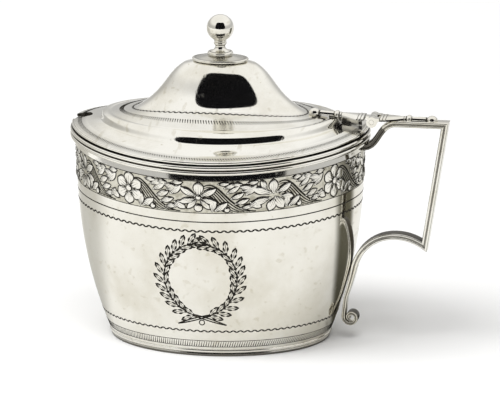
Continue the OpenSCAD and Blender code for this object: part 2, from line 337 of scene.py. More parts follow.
@dataclass(frozen=True)
class CutLine:
    """Graver's line with old polish dried in it."""

    name: str
    dark: Colour = (0.012, 0.011, 0.008)
    light: Colour = (0.055, 0.05, 0.038)
    roughness: float = 0.55
    wear_dull: float = 0.2
    gleam: float = 0.15
    wear_scale: float = 900.0
    wear_edge: Point2 = (0.45, 0.75)

    def material(self) -> bpy.types.Material:
        """Build the finish.

        Returns:
            The material.
        """
        made, graph, shader = new_material(self.name)
        wear = graph.noise(graph.place(), self.wear_scale)
        graph.feed(shader, {
            "Base Color": graph.blend(wear.step(*self.wear_edge), self.dark, self.light),
            "Roughness": self.roughness + wear * self.wear_dull,
            "Specular IOR Level": self.gleam,
        })
        return made


@dataclass(frozen=True)
class BlueGlass:
    """Clear cobalt glass."""

    name: str
    thin: Colour = (0.10, 0.20, 0.75)
    thick: Colour = (0.04, 0.10, 0.55)
    cloud_scale: float = 160.0
    roughness: float = 0.02
    cloud_dull: float = 0.04
    bend: float = 1.52

    def material(self) -> bpy.types.Material:
        """Build the finish.

        Returns:
            The material.
        """
        made, graph, shader = new_material(self.name)
        cloud = graph.noise(graph.place(), self.cloud_scale)
        graph.feed(shader, {
            "Base Color": graph.blend(cloud, self.thin, self.thick),
            "Roughness": self.roughness + cloud * self.cloud_dull,
            "Transmission Weight": 1.0,
            "IOR": self.bend,
        })
        return made


@dataclass(frozen=True)
class Finishes:
    """The finishes of the whole pot."""

    silver: bpy.types.Material
    bright: bpy.types.Material
    matted: bpy.types.Material
    cut: bpy.types.Material
    hatch: bpy.types.Material
    glass: bpy.types.Material

    @classmethod
    def make(cls) -> "Finishes":
        """Build every finish once.

        Returns:
            The finishes.
        """
        bright = Silver("bright_cut_silver", tarnish_share=0.3, roughness=0.16, cloud_scale=300.0)
        matted = Silver("matted_silver", tint=(0.74, 0.72, 0.635), tarnish=(0.4, 0.38, 0.3), roughness=0.3,
                        tarnish_share=0.8, cloud_scale=420.0)
        hatch = CutLine("fine_hatching", dark=(0.16, 0.15, 0.125), light=(0.3, 0.285, 0.24))
        silver, cut, glass = Silver("polished_silver"), CutLine("graver_line"), BlueGlass("cobalt_glass")
        return cls(*(kind.material() for kind in (silver, bright, matted, cut, hatch, glass)))


# Meshes


class Row(NamedTuple):
    """One oval of a lofted piece: half length, depth share, height at its ends, painted shade, dip at its
    sides.
    """

    a: float
    k: float
    z: float
    recess: float = 0.0
    dip: float = 0.0

    def toward(self, other: "Row", share: float) -> "Row":
        """Row at a share of the way to another one."""
        return Row(*(between(first, last, share) for first, last in zip(self, other)))


@dataclass
class Form:
    """Points, faces and painted shade of a mesh, in millimetres.

    A sheet is an open form whose faces are already drawn face up. Any other form is closed.
    """

    sheet: ClassVar[bool] = False
    points: list[Point3] = field(default_factory=list)
    faces: list[tuple[int, ...]] = field(default_factory=list)
    recess: list[float] = field(default_factory=list)

    def add(self, point: Sequence[float], recess: float = 0.0) -> int:
        """Add a point.

        Args:
            point: Its place.
            recess: Its painted shade, from 0 to 1.

        Returns:
            Its number.
        """
        self.points.append((point[0], point[1], point[2]))
        self.recess.append(recess)
        return len(self.points) - 1

    def skin(self, rings: Sequence[Sequence[int]], closed: bool, round_ring: bool = True) -> None:
        """Join rings of points by faces.

        Args:
            rings: Point numbers of each ring, all of one length.
            closed: Whether the last ring joins the first.
            round_ring: Whether each ring closes on itself.
        """
        pairs = list(zip(rings, rings[1:])) + ([(rings[-1], rings[0])] if closed else [])
        for low, high in pairs:
            count = len(low)
            for i in range(count if round_ring else count - 1):
                j = (i + 1) % count
                self.faces.append((low[i], low[j], high[j], high[i]))

    def tube(self, rings: Sequence[Sequence[int]]) -> None:
        """Join rings of points by faces and close both ends."""
        self.skin(rings, False)
        self.faces += [tuple(rings[0]), tuple(reversed(rings[-1]))]

    def move(self, matrix: Matrix) -> "Form":
        """Move every point by a matrix in millimetres and return the form."""
        self.points = [tuple(matrix @ Vector(point)) for point in self.points]
        return self


def oval_loft(rows: Sequence[Row], closed: bool, segments: int = 224) -> Form:
    """Loft through a stack of ovals.

    Args:
        rows: The ovals, going up the outside and down the inside.
        closed: Whether the last row joins the first.
        segments: Points in each oval.

    Returns:
        The lofted form.
    """
    form = Form()
    rings = []
    for row in rows:
        ring = []
        for i in range(segments):
            turn = FULL_TURN * i / segments
            across = math.sin(turn)
            place = (row.a * math.cos(turn), row.a * row.k * across, row.z - row.dip * across * across)
            ring.append(form.add(place, row.recess))
        rings.append(ring)
    form.skin(rings, closed)
    return form


def arc(centre: Point2, radius: Point2, first: float, last: float, steps: int) -> list[Point2]:
    """Points of an elliptic arc.

    Args:
        centre: Its centre.
        radius: Its two radii.
        first: First angle in degrees.
        last: Last angle in degrees.
        steps: Number of stretches.

    Returns:
        The points in order.
    """
    turns = [math.radians(between(first, last, i / steps)) for i in range(steps + 1)]
    return [(centre[0] + radius[0] * math.cos(t), centre[1] + radius[1] * math.sin(t)) for t in turns]


def bezier(ends: Sequence[Point2], steps: int) -> list[Point2]:
    """Points of a cubic curve.

    Args:
        ends: Its start, two pulls and end.
        steps: Number of stretches.

    Returns:
        The points in order.
    """
    points = []
    for i in range(steps + 1):
        t = i / steps
        s = 1 - t
        share = (s**3, 3 * s * s * t, 3 * s * t * t, t**3)
        points.append(tuple(sum(w * p[axis] for w, p in zip(share, ends)) for axis in (0, 1)))
    return points


def ray(root: Point2, heading: float, reach: float) -> Point2:
    """Point at a distance from another, in a direction in degrees."""
    turn = math.radians(heading)
    return root[0] + reach * math.cos(turn), root[1] + reach * math.sin(turn)


@dataclass
class Bench:
    """Makes finished pieces and sets each on its carrier."""

    finishes: Finishes
    count: int = 0
    weld: float = 1e-7
    sliver: float = 1e-6

    def mesh(self, name: str, form: Form, material: bpy.types.Material,
             sharp: float = 38.0) -> bpy.types.Object:
        """Turn a form into an object.

        Args:
            name: The piece's name.
            form: Its points and faces in millimetres.
            material: Its finish.
            sharp: Angle in degrees past which an edge stays crisp.

        Returns:
            The object, at the origin.
        """
        data = bpy.data.meshes.new(name)
        data.from_pydata([tuple(c * MM for c in point) for point in form.points], [], form.faces)
        # Each point's painted shade, which the silver reads to darken its colour
        painted_shade = data.attributes.new("recess", "FLOAT", "POINT")
        painted_shade.data.foreach_set("value", form.recess)
        work = bmesh.new()
        work.from_mesh(data)
        bmesh.ops.remove_doubles(work, verts=work.verts, dist=self.weld)
        if not form.sheet:
            bmesh.ops.recalc_face_normals(work, faces=work.faces)
            if work.calc_volume(signed=True) < 0:
                bmesh.ops.reverse_faces(work, faces=work.faces)
        work.to_mesh(data)
        work.free()
        data.shade_smooth()
        data.set_sharp_from_angle(angle=math.radians(sharp))
        data.materials.append(material)
        made = bpy.data.objects.new(name, data)
        bpy.context.scene.collection.objects.link(made)
        return made

    def freeze(self, made: bpy.types.Object) -> None:
        """Turn an object's modifiers into a plain mesh.

        Args:
            made: The object.
        """
        graph = bpy.context.evaluated_depsgraph_get()
        plain = bpy.data.meshes.new_from_object(made.evaluated_get(graph))
        made.modifiers.clear()
        made.data = plain

    def clear_slivers(self, made: bpy.types.Object) -> None:
        """Take out the faces of no area that a cut leaves behind.

        Args:
            made: The object that was cut.
        """
        work = bmesh.new()
        work.from_mesh(made.data)
        bmesh.ops.dissolve_degenerate(work, dist=self.sliver, edges=work.edges)
        work.to_mesh(made.data)
        work.free()

    def seat(self, made: bpy.types.Object, carrier: Carrier, *nodes: str, slot: Slot = Slot.SILVER) -> None:
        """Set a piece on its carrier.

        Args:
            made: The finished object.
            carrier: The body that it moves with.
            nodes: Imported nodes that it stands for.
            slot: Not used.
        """
        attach(made, carrier.value)
        if nodes:
            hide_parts(*nodes)
        self.count += 1
        LOG.info("%s rides on %s, %d faces", made.name, carrier.value, len(made.data.polygons))


# The pot


@dataclass
class Wall:
    """The oval wall, which swells from the foot to the mouth and dips at its sides."""

    half_len: float
    ratio: float
    mouth_z: float
    foot_h: float
    foot_half_len: float = 32.0
    belly_power: float = 2.6
    thickness: float = 0.9
    rows: int = 64
    side_dip: float = 3.4
    dip_start: float = 10.0

    @classmethod
    def from_frame(cls) -> "Wall":
        """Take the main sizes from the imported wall."""
        low, high = span("body_shell")
        return cls(half_len=high.x, ratio=high.y / high.x, mouth_z=high.z, foot_h=low.z)

    def half_length(self, z: float) -> float:
        """Half length of the wall's outside at a height."""
        share = (1 - z / self.mouth_z) ** self.belly_power
        return self.half_len - (self.half_len - self.foot_half_len) * share

    def row(self, a: float, z: float, recess: float = 0.0) -> Row:
        """Oval of the pot's own plan at a height, with the dip of its sides there."""
        share = min(1.0, max(0.0, (z - self.dip_start) / (self.mouth_z - self.dip_start)))
        return Row(a, self.ratio, z, recess, self.side_dip * share)

    def shell(self) -> Form:
        """Shape the outside, the lip and the inside.

        Returns:
            The wall's form.
        """
        heights = [between(self.foot_h, self.mouth_z, i / self.rows) for i in range(self.rows + 1)]
        outer = [self.row(self.half_length(z), z) for z in heights]
        inner = [self.row(self.half_length(z) - self.thickness, z) for z in reversed(heights)]
        return oval_loft(outer + inner, True)

    def build(self, bench: Bench) -> None:
        """Make the wall."""
        bench.seat(bench.mesh("wall", self.shell(), bench.finishes.silver), Carrier.POT, "body_shell")


@dataclass
class FootWire:
    """The foot wire: a low step on a round tread, with a quirk between them darkened by painted shade.

    The tread's painted shade is that of its underside and of its face.
    """

    wall: Wall
    width: float = 1.6
    tread_in: float = 0.75
    tread_r: Point2 = (0.45, 0.55)
    tread_shade: Point2 = (0.85, 0.3)
    tread_face_from: int = 6
    quirk_in: float = 0.42
    quirk_at: float = 0.47
    step_in: float = 0.25
    step_r: float = 0.4
    step_at: float = 0.75
    step_rise: float = 0.22
    top_in: float = 0.1
    top_shade: float = 0.9
    bends: int = 8

    def shape(self) -> Form:
        """Shape the wire.

        Returns:
            The wire's form.
        """
        low, high = span("foot_rim")
        out, top = self.wall.half_length(self.wall.foot_h), high.z
        tread = arc((out - self.tread_in, self.tread_r[1]), self.tread_r, -90, 60, self.bends)
        step_r = (self.step_r, top * self.step_rise)
        step = arc((out - self.step_in, top * self.step_at), step_r, -90, 80, self.bends)
        outline = [(x, z, self.tread_shade[i >= self.tread_face_from]) for i, (x, z) in enumerate(tread)]
        # Painted shade in the quirk, and at the top where the wire meets the wall
        outline += [(out - self.quirk_in, top * self.quirk_at, 1.0)]
        outline += [(x, z, 0.0) for x, z in step]
        outline += [(out - self.top_in, top, self.top_shade)]
        outline += [(out - self.width, z, 0.0) for z in (top, low.z)]
        return oval_loft([Row(x, self.wall.ratio, z, painted_shade) for x, z, painted_shade in outline], True)

    def build(self, bench: Bench) -> None:
        """Make the foot wire."""
        bench.seat(bench.mesh("foot_wire", self.shape(), bench.finishes.silver), Carrier.POT, "foot_rim")


@dataclass
class Rim:
    """The two reeds round the mouth and the plain band under them."""

    wall: Wall
    reed_r: float = 0.8
    reed_out: float = 0.9
    reed_up: float = 0.84
    reed_bends: int = 14
    reed_edge: int = 3
    stand: float = 1.0
    band_low: float = 58.05
    band_stand: float = 0.32
    band_thin: float = 0.03
    band_step: float = 0.1
    band_sink: float = 0.2
    band_gap: float = 0.02
    band_shade: float = 0.8
    band_bends: int = 8
    crisp: float = 60.0

    @property
    def low_z(self) -> float:
        """Height of the reeds' lower edge."""
        return self.wall.mouth_z - 4 * self.reed_r

    def reeds(self) -> Form:
        """Shape the two reeds, with a quirk between them darkened by painted shade.

        Returns:
            The reeds' form.
        """
        back = self.wall.half_len + HAIR
        radius = (self.reed_r * self.reed_out, self.reed_r * self.reed_up)
        rows = []
        # Painted shade in the quirks beside each reed, and on the inner row below them
        for centre in (self.low_z + self.reed_r, self.low_z + 3 * self.reed_r):
            for i, (x, z) in enumerate(arc((back + self.stand, centre), radius, -90, 90, self.reed_bends)):
                quirk = not self.reed_edge <= i <= self.reed_bends - self.reed_edge
                rows.append(self.wall.row(x, z, 1.0 if quirk else 0.0))
        rows += [self.wall.row(back, self.wall.mouth_z), self.wall.row(back, self.low_z, 1.0)]
        return oval_loft(rows, True)

    def band(self) -> Form:
        """Shape the plain band, which leans in as it rises.

        Returns:
            The band's form.
        """
        wall, low, high = self.wall, self.band_low, self.low_z - self.band_gap
        # Painted shade at the band's foot, and at its top under the reeds
        rows = [wall.row(wall.half_length(low), low, self.band_shade)]
        for i in range(self.band_bends + 1):
            share = i / self.band_bends
            z = between(low + self.band_step, high, share)
            stand = self.band_stand * (1 - share) + self.band_thin
            rows.append(wall.row(wall.half_length(z) + stand, z, 1.0 if i == self.band_bends else 0.0))
        rows += [wall.row(wall.half_length(z) - self.band_sink, z) for z in (high, low)]
        return oval_loft(rows, True)

    def build(self, bench: Bench) -> None:
        """Make the reeds and the band.

        Args:
            bench: Where pieces are made.
        """
        reeds = bench.mesh("rim_reeds", self.reeds(), bench.finishes.silver, self.crisp)
        bench.seat(reeds, Carrier.POT, "rim_moulding")
        bench.seat(bench.mesh("rim_band", self.band(), bench.finishes.silver), Carrier.POT)


@dataclass
class Liner:
    """The blue glass liner, a plain oval cup that follows the wall."""

    wall: Wall
    glass_t: float = 1.6
    gap: float = 0.5
    segments: int = 128

    def cup(self) -> Form:
        """Shape the cup, from the middle of its underside round to the middle of its floor.

        Returns:
            The cup's form.
        """
        wall = self.wall
        low, high = span("glass_liner")
        heights = [between(low.z, high.z, i / wall.rows) for i in range(wall.rows + 1)]
        floor_z = low.z + self.glass_t
        inset = wall.thickness + self.gap
        outer = [wall.row(wall.half_length(z) - inset, z) for z in heights]
        inside = [z for z in reversed(heights) if z > floor_z] + [floor_z]
        inner = [wall.row(wall.half_length(z) - inset - self.glass_t, z) for z in inside]
        under, floor = (Row(0.0, wall.ratio, z) for z in (low.z, floor_z))
        return oval_loft([under] + outer + inner + [floor], False, self.segments)

    def build(self, bench: Bench) -> None:
        """Make the liner."""
        glass = bench.mesh("liner", self.cup(), bench.finishes.glass)
        bench.seat(glass, Carrier.POT, "glass_liner", slot=Slot.GLASS)


class Corners(NamedTuple):
    """Numbers of the points on the handle's line where its limbs end and its tail starts."""

    upper: int
    lower: int
    tail: int
    end: int


@dataclass
class Handle:
    """The strap handle: swooping neck, top limb, back limb, arch, tail and scroll."""

    wall: Wall
    rim: Rim
    strap_w: float
    top_z: float
    hinge_x: float
    strap_t: float = 1.9
    neck_drop: float = 0.25
    neck_pull: Point2 = (4.6, -0.4)
    neck_rise: float = 1.7
    neck_run: float = 7.0
    # The neck's first points get painted shade, for the side of the strap in shadow
    dark_neck: int = 20
    neck_shade: float = 0.85
    grip_reach: float = 24.25
    grip_lean: float = 5.85
    grip_z: float = 29.2
    grip_pull: Point2 = (-7.2, 5.0)
    arch_z: float = 22.5
    arch_pull: Point2 = (2.9, 10.0)
    curve_bends: int = 28
    tail_z: float = 12.5
    tail_stand: float = 0.1
    tail_bends: int = 10
    scroll_r: float = 2.3
    scroll_t: float = 1.1
    scroll_out: float = 0.4
    scroll_drop: float = 5.8
    scroll_from: float = 165.0
    scroll_sweep: float = 430.0
    scroll_close: float = 0.72
    scroll_bends: int = 40
    reed: float = 0.5
    reed_share: float = 0.44
    reed_bends: int = 8
    groove_shade: float = 0.7
    crisp: float = 50.0

    @classmethod
    def from_frame(cls, wall: Wall, rim: Rim) -> "Handle":
        """Take the strap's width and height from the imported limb, and the hinge's place from the pin.

        Args:
            wall: The wall that the handle stands on.
            rim: The rim that its neck starts under.

        Returns:
            The handle.
        """
        low, high = span("handle_top_limb")
        pin_low, pin_high = span("hinge_pin")
        return cls(wall=wall, rim=rim, strap_w=high.y - low.y, top_z=high.z - cls.strap_t / 2,
                   hinge_x=(pin_low.x + pin_high.x) / 2)

    def neck(self) -> list[Point2]:
        """Centre line of the neck, from the wall up to the top limb.

        Returns:
            Its points.
        """
        z = self.rim.low_z - self.strap_t / 2 - self.neck_drop
        x = self.wall.half_length(z) + HAIR
        pull = (x + self.neck_pull[0], z + self.neck_pull[1])
        rise, end = ((self.hinge_x + run, self.top_z) for run in (self.neck_rise, self.neck_run))
        return bezier([(x, z), pull, rise, end], self.curve_bends)

    def scroll(self) -> list[Point2]:
        """Centre line of the scroll below the tail.

        Returns:
            Its points.
        """
        middle = (self.wall.half_length(self.tail_z) + self.scroll_r + self.scroll_out,
                  self.tail_z - self.scroll_drop)
        shares = [i / self.scroll_bends for i in range(self.scroll_bends + 1)]
        return [ray(middle, self.scroll_from + self.scroll_sweep * share,
                    self.scroll_r * (1 - self.scroll_close * share)) for share in shares]

    def path(self) -> tuple[list[Point2], Corners]:
        """Centre line of the whole strap.

        Returns:
            Its points, and the numbers of its corners.
        """
        neck = self.neck()
        grip_x = self.wall.half_len + self.grip_reach
        upper, lower = (grip_x, self.top_z), (grip_x - self.grip_lean, self.grip_z)
        stand = self.strap_t / 2 + self.tail_stand
        foot = (self.wall.half_length(self.arch_z) + stand, self.arch_z)
        grip_pull, foot_pull = ((at[0] + pull[0], at[1] + pull[1])
                                for at, pull in ((lower, self.grip_pull), (foot, self.arch_pull)))
        arch = bezier([lower, grip_pull, foot_pull, foot], self.curve_bends)[1:]
        shares = [i / self.tail_bends for i in range(1, self.tail_bends + 1)]
        heights = [between(self.arch_z, self.tail_z, share) for share in shares]
        tail = [(self.wall.half_length(z) + stand, z) for z in heights]
        points = neck + [upper, lower] + arch + tail + self.scroll()
        corner = len(neck)
        return points, Corners(corner, corner + 1, corner + 1 + len(arch), len(points) - 1)

    def section(self, thickness: float) -> list[Point3]:
        """Section of the strap with two reeds and a groove on each edge.

        Args:
            thickness: The strap's thickness there.

        Returns:
            Points as distance out, distance across, and painted shade.
        """
        half, edge = thickness / 2, self.strap_w / 2 - self.reed
        radius = half * self.reed_share
        right = []
        groove = self.groove_shade
        # Painted shade in the groove between the two reeds, and full painted shade at the lower reed's last
        # point
        for middle, above, below in ((half - radius, 0.0, groove), (radius - half, groove, 1.0)):
            bead = arc((edge, middle), (self.reed, radius), 90, -90, self.reed_bends)
            for i, (across, out) in enumerate(bead):
                painted_shade = above if i == 0 else below if i >= self.reed_bends - 1 else 0.0
                right.append((out, across, painted_shade))
        left = [(out, -across, painted_shade) for out, across, painted_shade in reversed(right)]
        return right + left

    def strap(self, first: int, last: int) -> Form:
        """Strap between two points of the path.

        Args:
            first: Number of its first point.
            last: Number of its last point.

        Returns:
            The swept strap with closed ends.
        """
        points, corners = self.path()
        form = Form()
        rings = []
        for i in range(first, last + 1):
            here = Vector(points[i])
            into = (here - Vector(points[i - 1])).normalized() if i else None
            out = (Vector(points[i + 1]) - here).normalized() if i < corners.end else into
            into = into or out
            normal_in, normal_out = Vector((-into.y, into.x)), Vector((-out.y, out.x))
            mitre = (normal_in + normal_out).normalized()
            mitre /= mitre.dot(normal_in)
            fall = (self.strap_t - self.scroll_t) * max(0, i - corners.tail) / self.tail_bends
            # Painted shade on the neck's first points
            neck_shade = self.neck_shade if i < self.dark_neck else 0.0
            ring = []
            for stand, across, painted_shade in self.section(max(self.scroll_t, self.strap_t - fall)):
                at = here + mitre * stand
                ring.append(form.add((at.x, across, at.y), max(painted_shade, neck_shade)))
            rings.append(ring)
        form.tube(rings)
        return form

    def build(self, bench: Bench) -> None:
        """Make the three limbs.

        Args:
            bench: Where pieces are made.
        """
        _, corners = self.path()
        for name, first, last, node in (
            ("top_limb", 0, corners.upper, "handle_top_limb"),
            ("back_limb", corners.upper, corners.lower, "handle_back_limb"),
            ("arched_limb", corners.lower, corners.end, "handle_lower_arch"),
        ):
            limb = bench.mesh(name, self.strap(first, last), bench.finishes.silver, self.crisp)
            bench.seat(limb, Carrier.POT, node)


class Ring(NamedTuple):
    """A raised ring across a hinge leaf: its middle, half width and height."""

    middle: float
    reach: float
    swell: float


@dataclass
class Hinge:
    """The two baluster leaves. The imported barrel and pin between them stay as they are.

    Rings count from the leaf's end at the barrel, and bead rings from the bead at its waist. The tongue
    past the bead is as wide as two shares of the waist: one at its start, one added by its end.
    """

    axis_x: float
    axis_z: float
    barrel_r: float
    leaf_t: float = 1.3
    leaf_len: float = 16.8
    leaf_end: float = 2.3
    leaf_crown: float = 0.82
    half_w: float = 3.6
    waist: float = 1.1
    waist_at: float = 0.5
    waist_power: float = 1.2
    tongue: Point2 = (0.85, 0.4)
    rings: tuple[Ring, ...] = (Ring(0.5, 0.38, 0.22), Ring(1.4, 0.38, 0.22))
    bead_rings: tuple[Ring, ...] = (Ring(0.0, 0.7, 0.75), Ring(-1.1, 0.3, 0.2))
    ring_rise: float = 0.6
    quirk: float = 1.35
    quirk_shade: float = 0.9
    knob_r: float = 1.7
    knob_h: float = 1.5
    knob_quirk: float = -0.75
    thin: float = 0.02
    round_power: float = 0.55
    bends: int = 168
    across_bends: int = 14
    lean: float = 4.0
    crisp: float = 45.0

    @classmethod
    def from_frame(cls) -> "Hinge":
        """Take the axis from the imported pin, and the barrel's radius from its knuckle.

        Returns:
            The hinge.
        """
        low, high = span("hinge_pin")
        _, barrel_high = span("lid_knuckle")
        axis_z = (low.z + high.z) / 2
        return cls((low.x + high.x) / 2, axis_z, barrel_high.z - axis_z)

    @property
    def leaf_floor(self) -> float:
        """Height of the leaves' underside at the barrel."""
        return self.axis_z + self.barrel_r - self.leaf_t

    @property
    def bead_at(self) -> float:
        """Distance of the bead from the leaf's end at the barrel."""
        return self.leaf_len * self.waist_at

    def outline(self, s: float) -> Point3:
        """Half width, height and painted shade of a leaf.

        Args:
            s: Distance from the leaf's end at the barrel.

        Returns:
            Half width, height, and painted shade there.
        """
        if s < self.bead_at:
            share = 0.5 + 0.5 * math.cos(math.pi * (s / self.bead_at) ** self.waist_power)
            wide = between(self.waist, self.half_w, share)
        else:
            along = (s - self.bead_at) / (self.leaf_len - self.bead_at)
            wide = self.waist * (self.tongue[0] + self.tongue[1] * along**2)
        high, painted_shade = self.leaf_t * self.leaf_crown, 0.0
        at_bead = [ring._replace(middle=self.bead_at + ring.middle) for ring in self.bead_rings]
        for ring in (*self.rings, *at_bead):
            off = abs(s - ring.middle) / ring.reach
            if off < 1:
                rise = math.sqrt(1 - off * off)
                wide += ring.swell * rise
                high += ring.swell * self.ring_rise * rise
            # Painted shade in the quirk beside each ring
            elif off < self.quirk:
                painted_shade = self.quirk_shade
        knob = (s - (self.leaf_len - self.knob_r)) / self.knob_r
        if knob > -1:
            ball, left = math.sqrt(max(0.0, 1 - knob * knob)), max(0.0, -knob)
            wide, high = max(wide * left, self.knob_r * ball), max(high * left, self.knob_h * ball)
            # Painted shade in the quirk before the knob
            painted_shade = max(painted_shade, self.quirk_shade if knob < self.knob_quirk else 0.0)
        return max(wide, self.thin), max(high, self.thin), painted_shade

    def leaf(self) -> Form:
        """Shape one leaf, running along X from the barrel to its knob.

        Returns:
            The leaf's form.
        """
        form = Form()
        rings = []
        turns = [math.pi * j / self.across_bends for j in range(self.across_bends + 1)]
        section = [(-math.cos(turn), math.sin(turn) ** self.round_power) for turn in turns]
        for i in range(self.bends + 1):
            s = self.leaf_len * i / self.bends
            wide, high, painted_shade = self.outline(s)
            rings.append([form.add((s, wide * across, high * up), painted_shade) for across, up in section])
        form.tube(rings)
        return form

    def build(self, bench: Bench) -> None:
        """Make both leaves.

        Args:
            bench: Where pieces are made.
        """
        far = Matrix.Translation((self.axis_x + self.leaf_end, 0, self.leaf_floor + HAIR))
        lean = math.radians(self.lean)
        near_x = self.axis_x - self.leaf_end - self.leaf_t * math.sin(lean)
        near = Matrix.Translation((near_x, 0, self.leaf_floor)) @ Matrix.Rotation(lean, 4, "Y")
        near = near @ Matrix.Diagonal((-1, 1, 1, 1))
        for name, place, carrier, node in (("strap_leaf", far, Carrier.POT, "handle_leaf"),
                                           ("cover_leaf", near, Carrier.LID, "lid_leaf")):
            leaf = bench.mesh(name, self.leaf().move(place), bench.finishes.silver, self.crisp)
            bench.seat(leaf, carrier, node)


# The lid


@dataclass
class Lid:
    """The stepped, domed lid with its collar and the bracket under its hinge leaf.

    Each less is how far a depth share falls short of the wall's. Quirk and rim are distances in from the
    edge and up.
    """

    edge: float
    under_z: float
    crown_z: float
    wall: Wall
    mouth_gap: float = 0.2
    flange_back: float = 3.2
    flange_up: float = 1.65
    ledge_back: float = 10.2
    ledge_up: float = 3.75
    dome_back: float = 7.2
    dome_up: float = 4.65
    flange_less: float = 0.02
    ledge_less: float = 0.15
    dome_less: float = 0.33
    crown_less: float = 0.13
    edge_r: Point2 = (0.4, 0.45)
    edge_bends: int = 10
    # The lowest rows of the rounded edge get painted shade, a dark line under the lid's edge
    edge_dark: int = 3
    bearing_in: float = 1.6
    quirk: Point2 = (0.5, 0.86)
    rim: Point2 = (0.62, 0.93)
    bend_out: float = 1.4
    bend_drop: float = 0.3
    flange_bends: int = 6
    # The flange, the ledge and the dome's foot are made a little darker through the shade attribute
    flange_darkening: float = 0.24
    cove_start: float = 0.55
    cove_run: float = 0.13
    cove_step: float = 0.84
    cove_hollow: float = 0.06
    cove_swell: float = 0.09
    cove_bends: int = 64
    ledge_dip: float = 0.4
    ledge_darkening: float = 0.08
    ledge_bends: int = 12
    dome_rise: float = 2.3
    shoulder: float = 0.58
    shoulder_power: float = 2.6
    skirt_power: float = 3.2
    dome_bends: int = 40
    dome_last: int = 36
    saucer_r: float = 8.2
    crown_share: float = 0.6
    crown_drop: float = 0.15
    bore_r: float = 1.3
    sheet: float = 0.7
    sheet_in: float = 0.9
    collar_h: float = 2.4
    collar_t: float = 0.8
    collar_lean: float = 0.93
    collar_top_in: float = 1.7
    collar_less: float = 0.01
    collar_clear: float = 1.6
    notch_w: float = 6.8
    notch_depth: float = 5.6
    notch_below: float = 5.0
    notch_above: float = 9.0
    notch_out: float = 12.0
    notch_bends: int = 36
    web_set: float = 0.25
    web_waist: float = 0.1
    # The web's sides get painted shade, as they lie under the leaf
    web_shade: float = 0.45
    web_sink: float = 0.08
    web_lap: float = 0.05
    web_short: float = 1.6
    web_cove_bends: int = 24
    web_flange_bends: int = 4
    web_bends: int = 8
    crisp: float = 30.0

    @classmethod
    def from_frame(cls, wall: Wall) -> "Lid":
        """Take the lid's reach from its packed shell, which stands a hair above the mouth.

        Args:
            wall: The wall that the lid closes.

        Returns:
            The lid.
        """
        _, high = span("lid_shell")
        return cls(edge=high.x, under_z=wall.mouth_z + cls.mouth_gap, crown_z=high.z, wall=wall)

    @property
    def flange_edge(self) -> Row:
        """Row of the flange's inner edge, where the cove starts."""
        wall, z = self.wall, self.under_z + self.flange_up
        return Row(wall.half_len - self.flange_back, wall.ratio - self.flange_less, z, 0.0, wall.side_dip)

    @property
    def ledge_edge(self) -> Row:
        """Row of the ledge's edge."""
        a, k = self.wall.half_len - self.ledge_back, self.wall.ratio - self.ledge_less
        return Row(a, k, self.under_z + self.ledge_up, self.ledge_darkening, self.ledge_dip)

    @property
    def dome_foot(self) -> Row:
        """Row of the dome's foot."""
        a, k = self.ledge_edge.a - self.dome_back, self.wall.ratio - self.dome_less
        return Row(a, k, self.under_z + self.dome_up, self.ledge_darkening, -self.dome_rise)

    @property
    def crown_ratio(self) -> float:
        """Depth share at the crown and of the saucer."""
        return self.wall.ratio - self.crown_less

    def flange_row(self, t: float) -> Row:
        """Row of the flange from its rim to the bend below the cove.

        Args:
            t: Share of the way.

        Returns:
            The row.
        """
        wall, edge, (inset, up) = self.wall, self.flange_edge, self.rim
        rim = Row(self.edge - inset, wall.ratio, self.under_z + up, self.flange_darkening, wall.side_dip)
        bend_k, bend_z = (wall.ratio + edge.k) / 2, edge.z - self.bend_drop
        return rim.toward(Row(edge.a + self.bend_out, bend_k, bend_z, self.flange_darkening, wall.side_dip), t)

    def cove(self, s: float) -> Row:
        """Row of the cove from the flange to the ledge's edge.

        Args:
            s: Share of the way.

        Returns:
            The row.
        """
        t = min(1.0, max(0.0, (s - self.cove_start) / self.cove_run))
        share = (1 - self.cove_step) * s + self.cove_step * t * t * (3 - 2 * t)
        share -= self.cove_hollow * math.sin(math.pi * min(1.0, s / self.cove_start))
        over = (s - self.cove_start - self.cove_run) / (1 - self.cove_start - self.cove_run)
        share += self.cove_swell * math.sin(math.pi * max(0.0, over))
        low, high = self.flange_edge, self.ledge_edge
        return low.toward(high, s)._replace(z=between(low.z, high.z, share), recess=0.0)

    def ledge(self, t: float) -> Row:
        """Row of the ledge at a share of the way from its edge to the dome's foot."""
        return self.ledge_edge.toward(self.dome_foot, t)

    def bell(self, h: float) -> Row:
        """Row of the dome.

        Args:
            h: Share of its height.

        Returns:
            The row.
        """
        foot = self.dome_foot
        round_share = math.sqrt(1 - h**self.shoulder_power)
        share = self.shoulder * round_share + (1 - self.shoulder) * (1 - h) ** self.skirt_power
        a = between(self.saucer_r * self.crown_share, foot.a, share)
        return Row(a, between(foot.k, self.crown_ratio, h), between(foot.z, self.crown_z, h), 0.0,
                   foot.dip * (1 - h) ** 2)

    def rim_rows(self) -> list[Row]:
        """Rows over the rounded edge and the flange.

        Returns:
            The rows, from the edge's underside in to the flange's bend.
        """
        ratio, dip = self.wall.ratio, self.wall.side_dip
        centre = (self.edge - self.edge_r[0], self.under_z + self.edge_r[1])
        edge = arc(centre, self.edge_r, -90, 90, self.edge_bends)
        # Painted shade under the rounded edge and in the quirk inside it
        rows = [Row(x, ratio, z, 1.0 if i < self.edge_dark else 0.0, dip) for i, (x, z) in enumerate(edge)]
        rows += [Row(self.edge - inset, ratio, self.under_z + up, painted_shade, dip)
                 for (inset, up), painted_shade in ((self.quirk, 1.0), (self.rim, 0.0))]
        return rows + [self.flange_row(i / self.flange_bends) for i in range(1, self.flange_bends + 1)]

